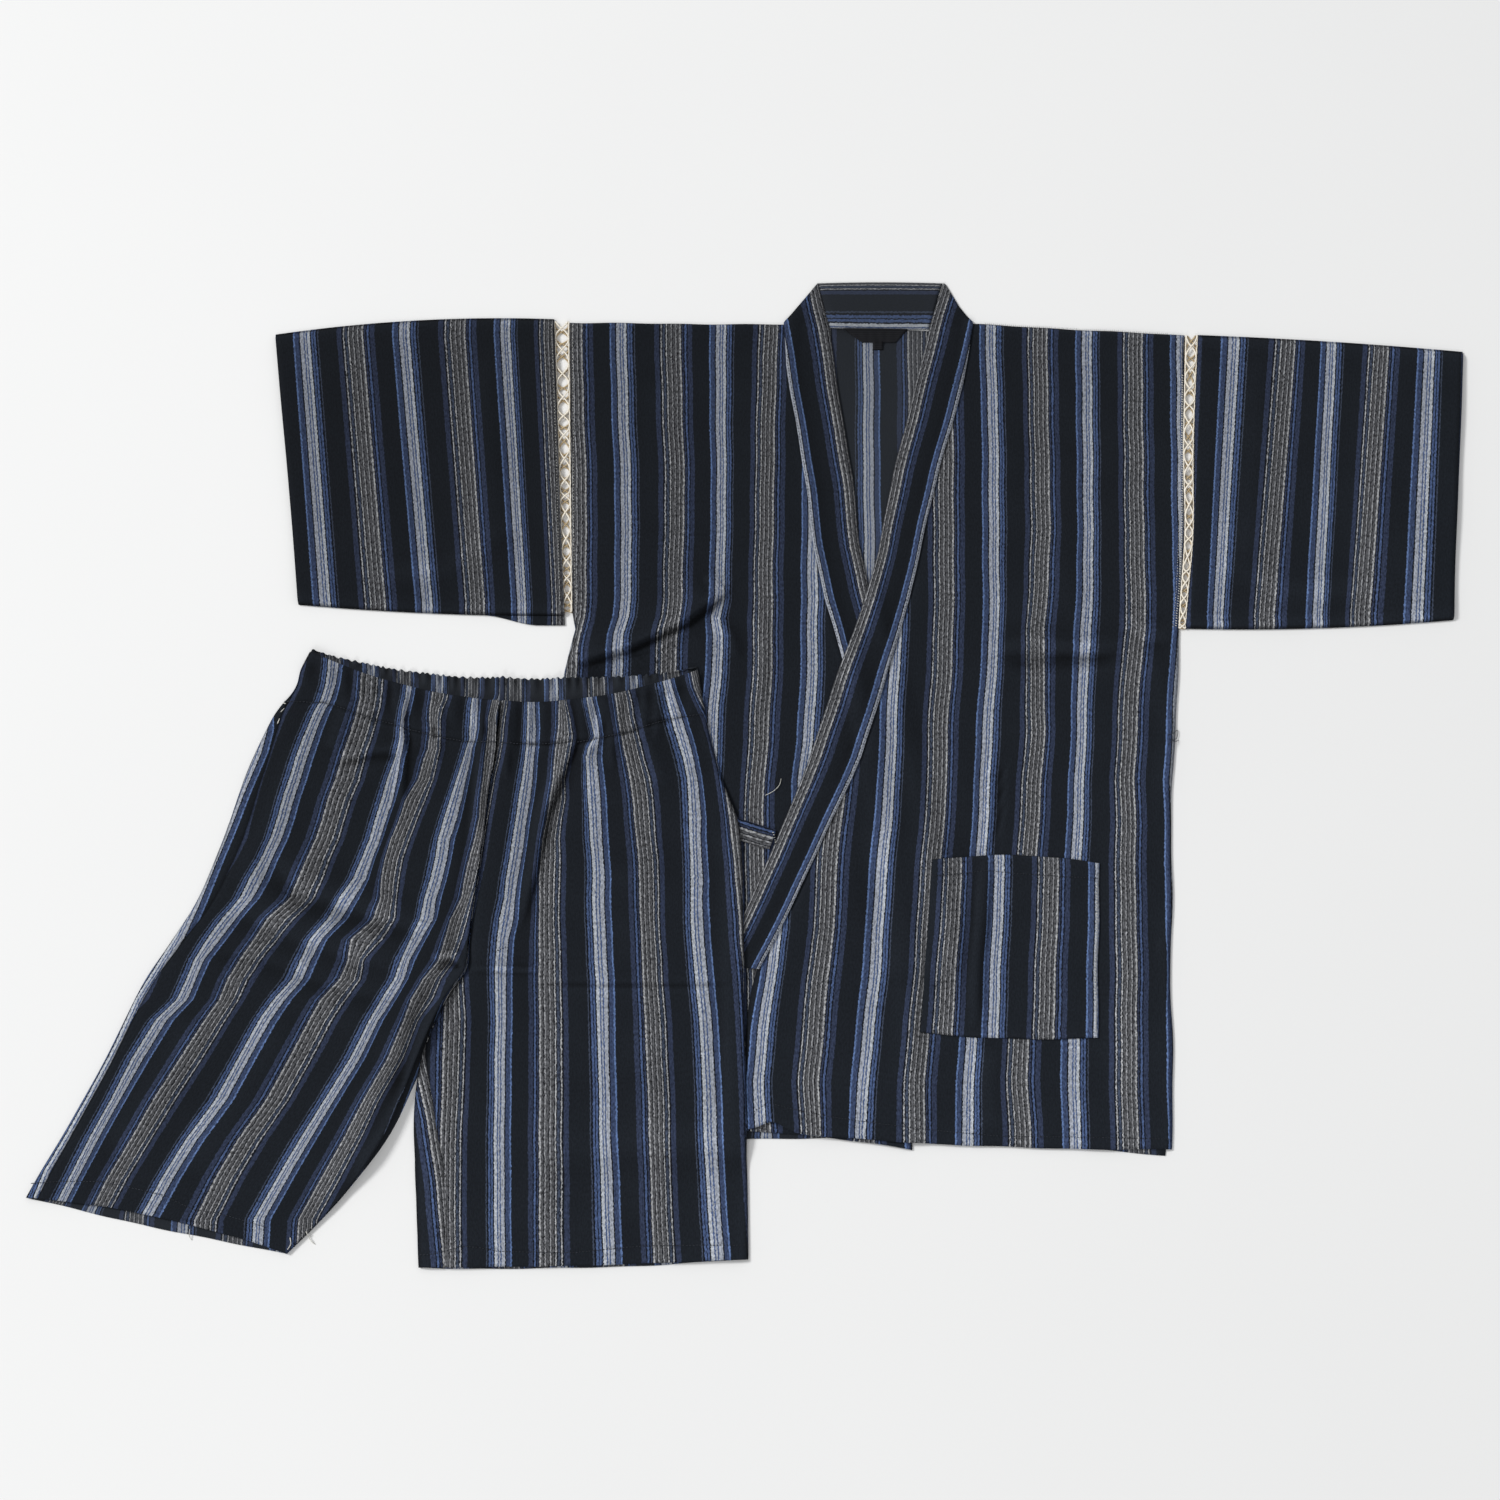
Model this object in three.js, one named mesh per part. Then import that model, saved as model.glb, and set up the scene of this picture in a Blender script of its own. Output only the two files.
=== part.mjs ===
// A jinbei set, jacket and shorts, laid out flat. Millimetres, +Z up.
// Left and right are those of someone looking down on the set with its hems towards them.
// The origin is at floor level, under the middle of the whole set.
import * as THREE from 'three';

// Driving sizes of the jacket
const JACKET_HALF_SPAN = 615;     // centre back to cuff
const CENTRE = 109;               // the jacket's centre back line
const CLOTH = 1.2;                // wall of one layer of crepe cotton with its seams
const BAND = 2.4;                 // the collar band is the same cloth folded double
const TAPE = 1.0;                 // wall of the woven neck label
const SEAM_GAP = 0.3;             // pieces lie this far apart at seams and in a stack
const LACE_REPEAT = 23;           // length of one diamond of the lace insertion
const TIE_WIDTH = 17;
const POCKET_GAP = 0.8;           // the patch pocket stands this far off its front
const SLEEVE_HOLLOW = 1.4;        // height inside a flattened sleeve

// How a layer eases down past the edge of what lies under it
const EASE_START = 24;
const EASE_RUN = 32;

const FIRST_LAYER = CLOTH / 2;
const CUFF_LEFT = CENTRE - JACKET_HALF_SPAN;
const CUFF_RIGHT = CENTRE + JACKET_HALF_SPAN;

const jinbei = new THREE.Group();

const clothMaterial = (color) => new THREE.MeshStandardMaterial({ color, roughness: 0.92, metalness: 0 });
const stripedCotton = clothMaterial('#272d38');
const stripedCottonInside = clothMaterial('#343a46');
const creamLace = clothMaterial('#e6dcc8');
const labelTape = clothMaterial('#17181b');

const mix = (a, b, share) => a + (b - a) * share;
const ease = (share) => {
  const held = THREE.MathUtils.clamp(share, 0, 1);
  return held * held * (3 - 2 * held);
};

// Adds a named piece of the set.
function addPiece(name, geometry, material) {
  const mesh = new THREE.Mesh(geometry, material);
  mesh.name = name;
  jinbei.add(mesh);
}

// A closed wall of even thickness about a grid of points in the middle of the cloth.
function clothWall(grid, wall) {
  const rows = grid.length;
  const columns = grid[0].length;
  const positions = [];
  const normalAt = (i, j) => {
    const down = grid[Math.min(i + 1, rows - 1)][j].clone().sub(grid[Math.max(i - 1, 0)][j]);
    const across = grid[i][Math.min(j + 1, columns - 1)].clone().sub(grid[i][Math.max(j - 1, 0)]);
    return across.cross(down).normalize();
  };
  for (const side of [-1, 1]) {
    for (let i = 0; i < rows; i += 1) {
      for (let j = 0; j < columns; j += 1) {
        const point = grid[i][j].clone().addScaledVector(normalAt(i, j), side * wall / 2);
        positions.push(point.x, point.y, point.z);
      }
    }
  }
  const at = (side, i, j) => (side * rows + i) * columns + j;
  const indices = [];
  const quad = (a, b, c, d) => indices.push(a, b, c, a, c, d);
  for (let i = 0; i + 1 < rows; i += 1) {
    for (let j = 0; j + 1 < columns; j += 1) {
      quad(at(1, i, j), at(1, i, j + 1), at(1, i + 1, j + 1), at(1, i + 1, j));
      quad(at(0, i, j), at(0, i + 1, j), at(0, i + 1, j + 1), at(0, i, j + 1));
    }
  }
  for (let i = 0; i + 1 < rows; i += 1) {
    quad(at(1, i, 0), at(1, i + 1, 0), at(0, i + 1, 0), at(0, i, 0));
    quad(at(1, i, columns - 1), at(0, i, columns - 1), at(0, i + 1, columns - 1), at(1, i + 1, columns - 1));
  }
  for (let j = 0; j + 1 < columns; j += 1) {
    quad(at(1, 0, j), at(0, 0, j), at(0, 0, j + 1), at(1, 0, j + 1));
    quad(at(1, rows - 1, j), at(1, rows - 1, j + 1), at(0, rows - 1, j + 1), at(0, rows - 1, j));
  }
  const geometry = new THREE.BufferGeometry();
  geometry.setAttribute('position', new THREE.Float32BufferAttribute(positions, 3));
  geometry.setIndex(indices);
  return geometry;
}

// The flat cut of a panel. Each section goes from a left end to a right end, and `dip` bows its middle.
function cutPanel({ sections, columns, steps = 1 }) {
  const grid = [];
  const rowCount = (sections.length - 1) * steps;
  for (let i = 0; i <= rowCount; i += 1) {
    const index = Math.min(Math.floor(i / steps), sections.length - 2);
    const above = sections[index];
    const below = sections[index + 1];
    const down = i / steps - index;
    const dip = mix(above.dip ?? 0, below.dip ?? 0, down);
    const row = [];
    for (let j = 0; j <= columns; j += 1) {
      const share = j / columns;
      const x = mix(mix(above.leftX, above.rightX, share), mix(below.leftX, below.rightX, share), down);
      const y = mix(mix(above.leftY, above.rightY, share), mix(below.leftY, below.rightY, share), down);
      row.push(new THREE.Vector3(x, y + dip * 4 * share * (1 - share), 0));
    }
    grid.push(row);
  }
  return grid;
}

function outlineOf(grid) {
  const last = grid.length - 1;
  return [
    ...grid[0],
    ...grid.map((row) => row[row.length - 1]),
    ...[...grid[last]].reverse(),
    ...[...grid].reverse().map((row) => row[0]),
  ];
}

function distanceOutside(outline, x, y) {
  let inside = false;
  let nearest = Infinity;
  outline.forEach((a, index) => {
    const b = outline[(index + 1) % outline.length];
    if ((a.y > y) !== (b.y > y) && x < mix(a.x, b.x, (y - a.y) / (b.y - a.y))) inside = !inside;
    const length = (b.x - a.x) ** 2 + (b.y - a.y) ** 2;
    const along = length === 0 ? 0 : ((x - a.x) * (b.x - a.x) + (y - a.y) * (b.y - a.y)) / length;
    const share = THREE.MathUtils.clamp(along, 0, 1);
    nearest = Math.min(nearest, Math.hypot(x - mix(a.x, b.x, share), y - mix(a.y, b.y, share)));
  });
  return inside ? 0 : nearest;
}

// How high a layer rides at a place: over each piece under it, easing off past that piece's edge.
function rideOver(layers, x, y) {
  let height = 0;
  for (const layer of layers) {
    const away = distanceOutside(layer.outline, x, y);
    const share = 1 - ease((away - EASE_START) / EASE_RUN);
    if (share > 0) height = Math.max(height, (layer.top(x, y) + SEAM_GAP) * share);
  }
  return height;
}

// A soft ridge along a line, fading towards its ends.
function ridgeHeight(ridges, x, y) {
  let height = 0;
  for (const ridge of ridges) {
    const dx = ridge.toX - ridge.fromX;
    const dy = ridge.toY - ridge.fromY;
    const along = ((x - ridge.fromX) * dx + (y - ridge.fromY) * dy) / (dx * dx + dy * dy);
    const share = THREE.MathUtils.clamp(along, 0, 1);
    const away = Math.hypot(x - ridge.fromX - dx * share, y - ridge.fromY - dy * share);
    height += ridge.rise * (1 - ease(away / ridge.width));
  }
  return height;
}

// A flat piece laid on `layers`, with its ridges. It gives back what a piece above it needs.
function layPiece({ name, grid, wall = CLOTH, layers = [], floor = 0, ridges = [], extra, material }) {
  const bottom = (x, y) => Math.max(floor, rideOver(layers, x, y)) + ridgeHeight(ridges, x, y);
  grid.forEach((row, i) => row.forEach((point, j) => {
    point.z = bottom(point.x, point.y) + wall / 2 + (extra ? extra(i, j) : 0);
  }));
  addPiece(name, clothWall(grid, wall), material);
  return { outline: outlineOf(grid), top: (x, y) => bottom(x, y) + wall };
}

// Jacket back
const backGrid = cutPanel({
  columns: 4,
  sections: [
    { leftX: -208, leftY: 457, rightX: 430, rightY: 443 },
    { leftX: -205, leftY: 335, rightX: 423.4, rightY: 335 },
    { leftX: -203, leftY: 213, rightX: 416.4, rightY: 213 },
    { leftX: -201, leftY: 146, rightX: 412, rightY: 128 },
    { leftX: -197, leftY: 128, rightX: 411, rightY: 112 },
    { leftX: -209, leftY: 79, rightX: 408, rightY: 70 },
    { leftX: -211, leftY: -6, rightX: 402, rightY: -6 },
    { leftX: -210, leftY: -100, rightX: 397, rightY: -60 },
    { leftX: -208, leftY: -200, rightX: 390, rightY: -215 },
    { leftX: -206, leftY: -300, rightX: 390, rightY: -300 },
    { leftX: -205, leftY: -392, rightX: 386, rightY: -399 },
  ],
});
const back = layPiece({ name: 'back', grid: backGrid, material: stripedCottonInside });

// Both branches of the collar run on past the shoulder to a mitre, where the neck stretch folds over.
const mitreUnder = [
  { seamX: 46.5, seamY: 498.4, innerX: 49, innerY: 500.9 },
  { seamX: 30, seamY: 477.6, innerX: 55, innerY: 476 },
];
const mitreOver = [
  { innerX: 180.5, innerY: 500.9, seamX: 183, seamY: 498.4 },
  { innerX: 173, innerY: 476, seamX: 196.5, seamY: 475.4 },
];

// Under front, on the left, and its branch of the collar. Each section goes from the left edge (x, y)
// to the collar's seam, and on to the collar's inner edge. Below the collar the front has its own edge.
const underSections = [
  { leftX: -208, leftY: 457, seamX: 16, seamY: 455, innerX: 61, innerY: 451.5 },
  { leftX: -206.5, leftY: 410, seamX: 16.5, seamY: 410, innerX: 66, innerY: 415 },
  { leftX: -205, leftY: 335, seamX: 28, seamY: 335, innerX: 75, innerY: 347 },
  { leftX: -204, leftY: 273, seamX: 37, seamY: 273, innerX: 84, innerY: 289 },
  { leftX: -203, leftY: 213, seamX: 44, seamY: 213, innerX: 91, innerY: 215 },
  { leftX: -201, leftY: 150, seamX: 55, seamY: 159, innerX: 99, innerY: 175 },
  { leftX: -197, leftY: 131, seamX: 62, seamY: 133, innerX: 104, innerY: 152 },
  { leftX: -200, leftY: 112, seamX: 67, seamY: 113, innerX: 107, innerY: 133 },
  { leftX: -206, leftY: 92, seamX: 73, seamY: 92, innerX: 111, innerY: 114 },
  { leftX: -210, leftY: 50, seamX: 82, seamY: 45, innerX: 119.5, innerY: 68 },
  { leftX: -211, leftY: -6, seamX: 91, seamY: -3, innerX: 129, innerY: 20 },
  { leftX: -210, leftY: -100, seamX: 104, seamY: -97, innerX: 146, innerY: -72 },
  { leftX: -208, leftY: -212, seamX: 123, seamY: -212, innerX: 166, innerY: -207 },
];
const frontUnder = layPiece({
  name: 'front_under',
  layers: [back],
  floor: CLOTH + SEAM_GAP,
  material: stripedCotton,
  ridges: [
    { fromX: -178, fromY: 116, toX: -52, toY: 154, width: 22, rise: 2.4 },
  ],
  grid: cutPanel({
    columns: 9,
    sections: [
      ...underSections.map((s) => ({
        leftX: s.leftX,
        leftY: s.leftY,
        rightX: s.seamX - SEAM_GAP,
        rightY: s.seamY,
      })),
      { leftX: -206, leftY: -300, rightX: 132, rightY: -300 },
      { leftX: -205, leftY: -390, rightX: 141, rightY: -389 },
    ],
  }),
});
const collarUnder = layPiece({
  name: 'collar_under',
  wall: BAND,
  layers: [back],
  floor: CLOTH + SEAM_GAP,
  material: stripedCotton,
  grid: cutPanel({
    columns: 2,
    sections: [...mitreUnder, ...underSections].map((s) => ({
      leftX: s.seamX,
      leftY: s.seamY,
      rightX: s.innerX,
      rightY: s.innerY,
    })),
  }),
});

// Over front, on the right, and its branch of the collar, which cross over the under front. Each section
// goes from the collar's inner edge to its seam, and on to the right edge (x, y).
const overSections = [
  { innerX: 166, innerY: 451.5, seamX: 210, seamY: 456, rightX: 430, rightY: 443 },
  { innerX: 150, innerY: 391, seamX: 199.5, seamY: 391, rightX: 426.6, rightY: 391 },
  { innerX: 126, innerY: 294, seamX: 172, seamY: 294, rightX: 421, rightY: 294 },
  { innerX: 110, innerY: 213, seamX: 152.5, seamY: 213, rightX: 416.4, rightY: 213 },
  { innerX: 95, innerY: 159, seamX: 140, seamY: 159, rightX: 412.6, rightY: 150 },
  { innerX: 63, innerY: 70, seamX: 114, seamY: 70, rightX: 409, rightY: 70 },
  { innerX: 39, innerY: -3, seamX: 90, seamY: -3, rightX: 402, rightY: -6 },
  { innerX: 16, innerY: -63, seamX: 63, seamY: -63, rightX: 397, rightY: -60 },
  { innerX: -20, innerY: -147, seamX: 24, seamY: -147, rightX: 396, rightY: -147 },
  { innerX: -52, innerY: -212, seamX: -12, seamY: -217, rightX: 390, rightY: -222 },
];
const crossedOver = [frontUnder, collarUnder, back];
const frontOver = layPiece({
  name: 'front_over',
  layers: crossedOver,
  floor: CLOTH + SEAM_GAP,
  material: stripedCotton,
  ridges: [
    { fromX: 255, fromY: 112, toX: 345, toY: 96, width: 30, rise: 2.2 },
    { fromX: 212, fromY: -112, toX: 204, toY: -272, width: 26, rise: 1.8 },
  ],
  grid: cutPanel({
    columns: 16,
    steps: 2,
    sections: [
      ...overSections.map((s) => ({
        leftX: s.seamX + SEAM_GAP,
        leftY: s.seamY,
        rightX: s.rightX,
        rightY: s.rightY,
      })),
      { leftX: -17, leftY: -290, rightX: 391, rightY: -290 },
      { leftX: -23, leftY: -371, rightX: 386, rightY: -396 },
    ],
  }),
});
const collarOver = layPiece({
  name: 'collar_over',
  wall: BAND,
  layers: crossedOver,
  floor: CLOTH + SEAM_GAP,
  material: stripedCotton,
  grid: cutPanel({
    columns: 3,
    steps: 2,
    sections: [...mitreOver, ...overSections].map((s) => ({
      leftX: s.innerX,
      leftY: s.innerY,
      rightX: s.seamX,
      rightY: s.seamY,
    })),
  }),
});

// The collar's neck stretch lies behind the shoulders, between the folds of both mitres.
layPiece({
  name: 'collar_back',
  wall: BAND,
  material: stripedCotton,
  grid: cutPanel({
    columns: 6,
    sections: [
      { leftX: 49.5, leftY: 500.9, rightX: 180, rightY: 500.9, dip: 1.1 },
      { leftX: 55.5, leftY: 476, rightX: 172.5, rightY: 476 },
      { leftX: 61.5, leftY: 451.5, rightX: 165, rightY: 449.3 },
    ],
  }),
});

// Patch pocket, raised off the over front
layPiece({
  name: 'pocket',
  layers: [{ outline: frontOver.outline, top: (x, y) => frontOver.top(x, y) + POCKET_GAP }],
  material: stripedCotton,
  grid: cutPanel({
    columns: 8,
    sections: [
      { leftX: 159, leftY: -108, rightX: 324, rightY: -111, dip: 6 },
      { leftX: 157, leftY: -126, rightX: 323, rightY: -129, dip: 4 },
      { leftX: 154, leftY: -165, rightX: 322, rightY: -170 },
      { leftX: 152, leftY: -205, rightX: 320, rightY: -210 },
      { leftX: 150, leftY: -245, rightX: 319, rightY: -250 },
      { leftX: 148, leftY: -278, rightX: 318, rightY: -283, dip: -4 },
    ],
  }),
});

// Ties: each is a strip along its own line.
function tieStrip(path) {
  const points = path.map((p) => new THREE.Vector3(p.x, p.y, 0));
  const sections = points.map((point, index) => {
    const before = points[Math.max(index - 1, 0)];
    const after = points[Math.min(index + 1, points.length - 1)];
    const along = after.clone().sub(before).normalize();
    return {
      leftX: point.x + along.y * TIE_WIDTH / 2,
      leftY: point.y - along.x * TIE_WIDTH / 2,
      rightX: point.x - along.y * TIE_WIDTH / 2,
      rightY: point.y + along.x * TIE_WIDTH / 2,
    };
  });
  return cutPanel({ columns: 1, sections });
}
const tieFront = layPiece({
  name: 'tie_front',
  layers: [frontUnder],
  material: stripedCotton,
  grid: tieStrip([
    { x: -185, y: -4 },
    { x: -130, y: -30 },
    { x: -80, y: -54 },
    { x: -35, y: -76 },
    { x: 0.5, y: -87.5 },
  ]),
});
const tieSide = layPiece({
  name: 'tie_side',
  layers: [frontUnder],
  material: stripedCotton,
  grid: tieStrip([
    { x: -60, y: -178 },
    { x: -110, y: -165 },
    { x: -160, y: -142 },
    { x: -207, y: -120 },
  ]),
});

// Neck label and its size tab, both bare, on the inside of the back
layPiece({
  name: 'neck_label',
  wall: TAPE,
  layers: [back],
  material: labelTape,
  grid: cutPanel({
    columns: 1,
    sections: [
      { leftX: 76, leftY: 450.6, rightX: 142.5, rightY: 449.2 },
      { leftX: 95, leftY: 435, rightX: 130.5, rightY: 435 },
    ],
  }),
});
layPiece({
  name: 'size_tab',
  wall: TAPE,
  layers: [back],
  material: labelTape,
  grid: cutPanel({
    columns: 1,
    sections: [
      { leftX: 105.6, leftY: 434.7, rightX: 116, rightY: 434.7 },
      { leftX: 105.6, leftY: 426, rightX: 116, rightY: 426 },
    ],
  }),
});

// A sleeve is one piece folded along its top: its under layer, the fold, and its upper layer down to the
// seam. Each section goes from the fold at the top to the seam at the bottom.
function sleeve({ name, sections, across }) {
  const lower = FIRST_LAYER;
  const upper = CLOTH + SLEEVE_HOLLOW + CLOTH / 2;
  const foldHeight = (upper - lower) / 2;
  const grid = sections.map((s) => {
    const row = [];
    const place = (share, z, inset = 0) => {
      const top = new THREE.Vector3(s.foldX, s.foldY - inset, z);
      row.push(top.lerp(new THREE.Vector3(s.seamX, s.seamY, z), share));
    };
    for (let j = 0; j < across; j += 1) place(1 - j / across, lower, foldHeight * 2);
    for (const turn of [0, 0.25, 0.5, 0.75, 1]) {
      const angle = turn * Math.PI;
      place(0, lower + foldHeight * (1 - Math.cos(angle)), foldHeight * (2 - Math.sin(angle) * 1.4));
    }
    for (let j = 1; j <= across; j += 1) place(j / across, upper, foldHeight * 2);
    return row;
  });
  addPiece(name, clothWall(grid, CLOTH), stripedCotton);
}
sleeve({
  name: 'sleeve_right',
  across: 5,
  sections: [
    { foldX: CUFF_RIGHT - 7, foldY: 424, seamX: 690, seamY: 138 },
    { foldX: 640, foldY: 431, seamX: 626, seamY: 135 },
    { foldX: 565, foldY: 437, seamX: 558, seamY: 129 },
    { foldX: 500, foldY: 441, seamX: 482, seamY: 126 },
    { foldX: 443.8, foldY: 442.5, seamX: 418.5, seamY: 128 },
  ],
});
sleeve({
  name: 'sleeve_left',
  across: 5,
  sections: [
    { foldX: -224.2, foldY: 460, seamX: -208, seamY: 137 },
    { foldX: -281, foldY: 462, seamX: -268, seamY: 139 },
    { foldX: -358, foldY: 456, seamX: -338, seamY: 144 },
    { foldX: -436, foldY: 449, seamX: -410, seamY: 149 },
    { foldX: CUFF_LEFT - 7, foldY: 443, seamX: -478, seamY: 154 },
  ],
});

// Lace insertion between sleeve and body: a strip with a diamond cut through at each repeat
function laceStrip({ name, top, bottom, z }) {
  const length = top.y - bottom.y;
  const repeats = Math.floor(length / LACE_REPEAT);
  const pitch = length / repeats;
  const strip = new THREE.Shape();
  strip.moveTo(0, 0);
  strip.lineTo(1, 0);
  strip.lineTo(1, length);
  strip.lineTo(0, length);
  strip.closePath();
  for (let k = 0; k < repeats; k += 1) {
    const middle = (k + 0.5) * pitch;
    const reach = 0.36 * pitch;
    const diamond = new THREE.Path();
    diamond.moveTo(0.5, middle - reach);
    diamond.lineTo(0.19, middle);
    diamond.lineTo(0.5, middle + reach);
    diamond.lineTo(0.81, middle);
    diamond.closePath();
    strip.holes.push(diamond);
  }
  const geometry = new THREE.ExtrudeGeometry(strip, { depth: CLOTH, bevelEnabled: false });
  const place = geometry.getAttribute('position');
  for (let index = 0; index < place.count; index += 1) {
    const down = 1 - place.getY(index) / length;
    const left = mix(top.left, bottom.left, down);
    const right = mix(top.right, bottom.right, down);
    const y = mix(top.y, bottom.y, down);
    place.setXYZ(index, mix(left, right, place.getX(index)), y, z + place.getZ(index));
  }
  addPiece(name, geometry, creamLace);
}
const laceLayers = [
  { layer: 'back', z: 0 },
  { layer: 'front', z: CLOTH + SLEEVE_HOLLOW },
];
for (const { layer, z } of laceLayers) {
  laceStrip({
    name: `lace_left_${layer}`,
    z,
    top: { y: 457, left: -223.7, right: -208.9 },
    bottom: { y: 146, left: -207.9, right: -202 },
  });
  laceStrip({
    name: `lace_right_${layer}`,
    z,
    top: { y: 442, left: 431, right: 443 },
    bottom: { y: 129, left: 412.8, right: 417.9 },
  });
}

// Shorts. Each leg has a back and a front cut on the same sections, waist to hem, so the front is the
// back's points moved up. The casing is gathered, and some gathers run on down the leg.
const legLeftSections = [
  { leftX: -464, leftY: 104, rightX: -272.4, rightY: 53, dip: -9 },
  { leftX: -478, leftY: 68, rightX: -274.4, rightY: 12, dip: -9 },
  { leftX: -501, leftY: 32, rightX: -277.4, rightY: -15, dip: -5 },
  { leftX: -520, leftY: -12, rightX: -281.4, rightY: -42 },
  { leftX: -535, leftY: -60, rightX: -285.4, rightY: -80 },
  { leftX: -549, leftY: -104, rightX: -289.4, rightY: -118 },
  { leftX: -567, leftY: -150, rightX: -294.4, rightY: -155 },
  { leftX: -590, leftY: -190, rightX: -297.4, rightY: -188 },
  { leftX: -614, leftY: -228, rightX: -300.4, rightY: -217 },
  { leftX: -635, leftY: -275, rightX: -318, rightY: -244 },
  { leftX: -659, leftY: -327, rightX: -340.5, rightY: -292 },
  { leftX: -684, leftY: -375, rightX: -370, rightY: -370 },
  { leftX: -702, leftY: -408, rightX: -408, rightY: -430 },
  { leftX: -717, leftY: -436, rightX: -464, rightY: -489, dip: 3 },
];
const legRightSections = [
  { leftX: -271.6, leftY: 53, rightX: -73, rightY: 84, dip: -11 },
  { leftX: -273.6, leftY: 12, rightX: -66, rightY: 40, dip: -11 },
  { leftX: -276.6, leftY: -15, rightX: -60, rightY: 12, dip: -6 },
  { leftX: -280.6, leftY: -42, rightX: -48, rightY: -30 },
  { leftX: -284.6, leftY: -80, rightX: -32, rightY: -72 },
  { leftX: -288.6, leftY: -118, rightX: -29, rightY: -112 },
  { leftX: -293.6, leftY: -155, rightX: -28, rightY: -150 },
  { leftX: -296.6, leftY: -188, rightX: -27, rightY: -188 },
  { leftX: -299.4, leftY: -217, rightX: -27, rightY: -217 },
  { leftX: -316.6, leftY: -245, rightX: -27, rightY: -250 },
  { leftX: -338, leftY: -292, rightX: -26, rightY: -295 },
  { leftX: -346, leftY: -345, rightX: -25, rightY: -345 },
  { leftX: -344, leftY: -400, rightX: -24, rightY: -400 },
  { leftX: -341, leftY: -450, rightX: -23, rightY: -447 },
  { leftX: -338, leftY: -502, rightX: -23, rightY: -494, dip: -2 },
];

// The back's waist stands higher than the front's, so its casing shows above the front with fine gathers.
const backWaistLeft = { leftX: -462, leftY: 107, rightX: -272.4, rightY: 78, dip: -8 };
const backWaistRight = { leftX: -271.6, leftY: 78, rightX: -75, rightY: 86, dip: -5 };
const BACK_GATHER = 2.6;

// Gathers of the front casing, on a column of the panel, to the row where each has faded out
const gathersLeft = [
  { column: 2, rows: 2, rise: 2.2 },
  { column: 4, rows: 3, rise: 3.0 },
  { column: 6, rows: 2, rise: 2.0 },
  { column: 8, rows: 5, rise: 4.4 },
  { column: 11, rows: 5, rise: 4.2 },
  { column: 13, rows: 3, rise: 2.6 },
  { column: 15, rows: 6, rise: 3.8 },
];
const gathersRight = [
  { column: 1, rows: 3, rise: 2.4 },
  { column: 3, rows: 2, rise: 2.6 },
  { column: 5, rows: 7, rise: 5.4 },
  { column: 7, rows: 3, rise: 3.8 },
  { column: 9, rows: 2, rise: 2.2 },
  { column: 11, rows: 3, rise: 2.8 },
  { column: 13, rows: 2, rise: 2.0 },
];

// Cross folds where the left leg was swung outwards, and the crease beside the crotch
const legRidgesLeft = [
  { fromX: -560, fromY: -150, toX: -330, toY: -205, width: 34, rise: 4.2 },
  { fromX: -520, fromY: -225, toX: -345, toY: -250, width: 30, rise: 2.8 },
  { fromX: -500, fromY: 5, toX: -400, toY: 12, width: 26, rise: 2.6 },
];
const legRidgesRight = [
  { fromX: -292, fromY: -214, toX: -215, toY: -214, width: 26, rise: 3.2 },
  { fromX: -200, fromY: 0, toX: -246, toY: -170, width: 24, rise: 3.4 },
];

const LEG_COLUMNS = 16;
const underShorts = [frontUnder, tieFront, tieSide, collarOver, frontOver];

function leg({ side, sections, backWaist, gathers, ridges }) {
  layPiece({
    name: `shorts_back_${side}`,
    layers: underShorts,
    material: stripedCottonInside,
    grid: cutPanel({ columns: LEG_COLUMNS, sections: [backWaist, ...sections] }),
    extra: (i, j) => (i === 0 ? BACK_GATHER * (j % 2) : 0),
  });
  const gatherRise = (i, j) => {
    let rise = 0;
    for (const gather of gathers) {
      const fade = 1 - ease(i / gather.rows);
      if (gather.column === j) rise += gather.rise * fade;
    }
    return rise;
  };
  layPiece({
    name: `shorts_front_${side}`,
    layers: underShorts,
    ridges,
    material: stripedCotton,
    grid: cutPanel({ columns: LEG_COLUMNS, sections }),
    extra: (i, j) => CLOTH + SEAM_GAP + gatherRise(i, j),
  });
}
leg({
  side: 'left',
  sections: legLeftSections,
  backWaist: backWaistLeft,
  gathers: gathersLeft,
  ridges: legRidgesLeft,
});
leg({
  side: 'right',
  sections: legRightSections,
  backWaist: backWaistRight,
  gathers: gathersRight,
  ridges: legRidgesRight,
});

export default jinbei;
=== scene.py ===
import math
import random

import bmesh
import bpy
import numpy as np
from mathutils import Matrix, Vector


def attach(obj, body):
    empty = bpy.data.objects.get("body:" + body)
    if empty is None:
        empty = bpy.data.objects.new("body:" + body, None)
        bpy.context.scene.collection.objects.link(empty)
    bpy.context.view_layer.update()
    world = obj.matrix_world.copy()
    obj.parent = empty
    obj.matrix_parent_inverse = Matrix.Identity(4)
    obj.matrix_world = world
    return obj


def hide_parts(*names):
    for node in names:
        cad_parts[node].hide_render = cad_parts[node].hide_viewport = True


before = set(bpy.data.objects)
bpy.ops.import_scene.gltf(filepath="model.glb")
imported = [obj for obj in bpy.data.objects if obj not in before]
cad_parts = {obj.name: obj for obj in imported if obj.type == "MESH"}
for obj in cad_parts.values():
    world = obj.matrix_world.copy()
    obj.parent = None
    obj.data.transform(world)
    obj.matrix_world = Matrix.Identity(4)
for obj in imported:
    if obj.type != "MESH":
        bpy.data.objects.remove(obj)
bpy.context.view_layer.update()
random.seed(27)

MM = 0.001

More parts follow.
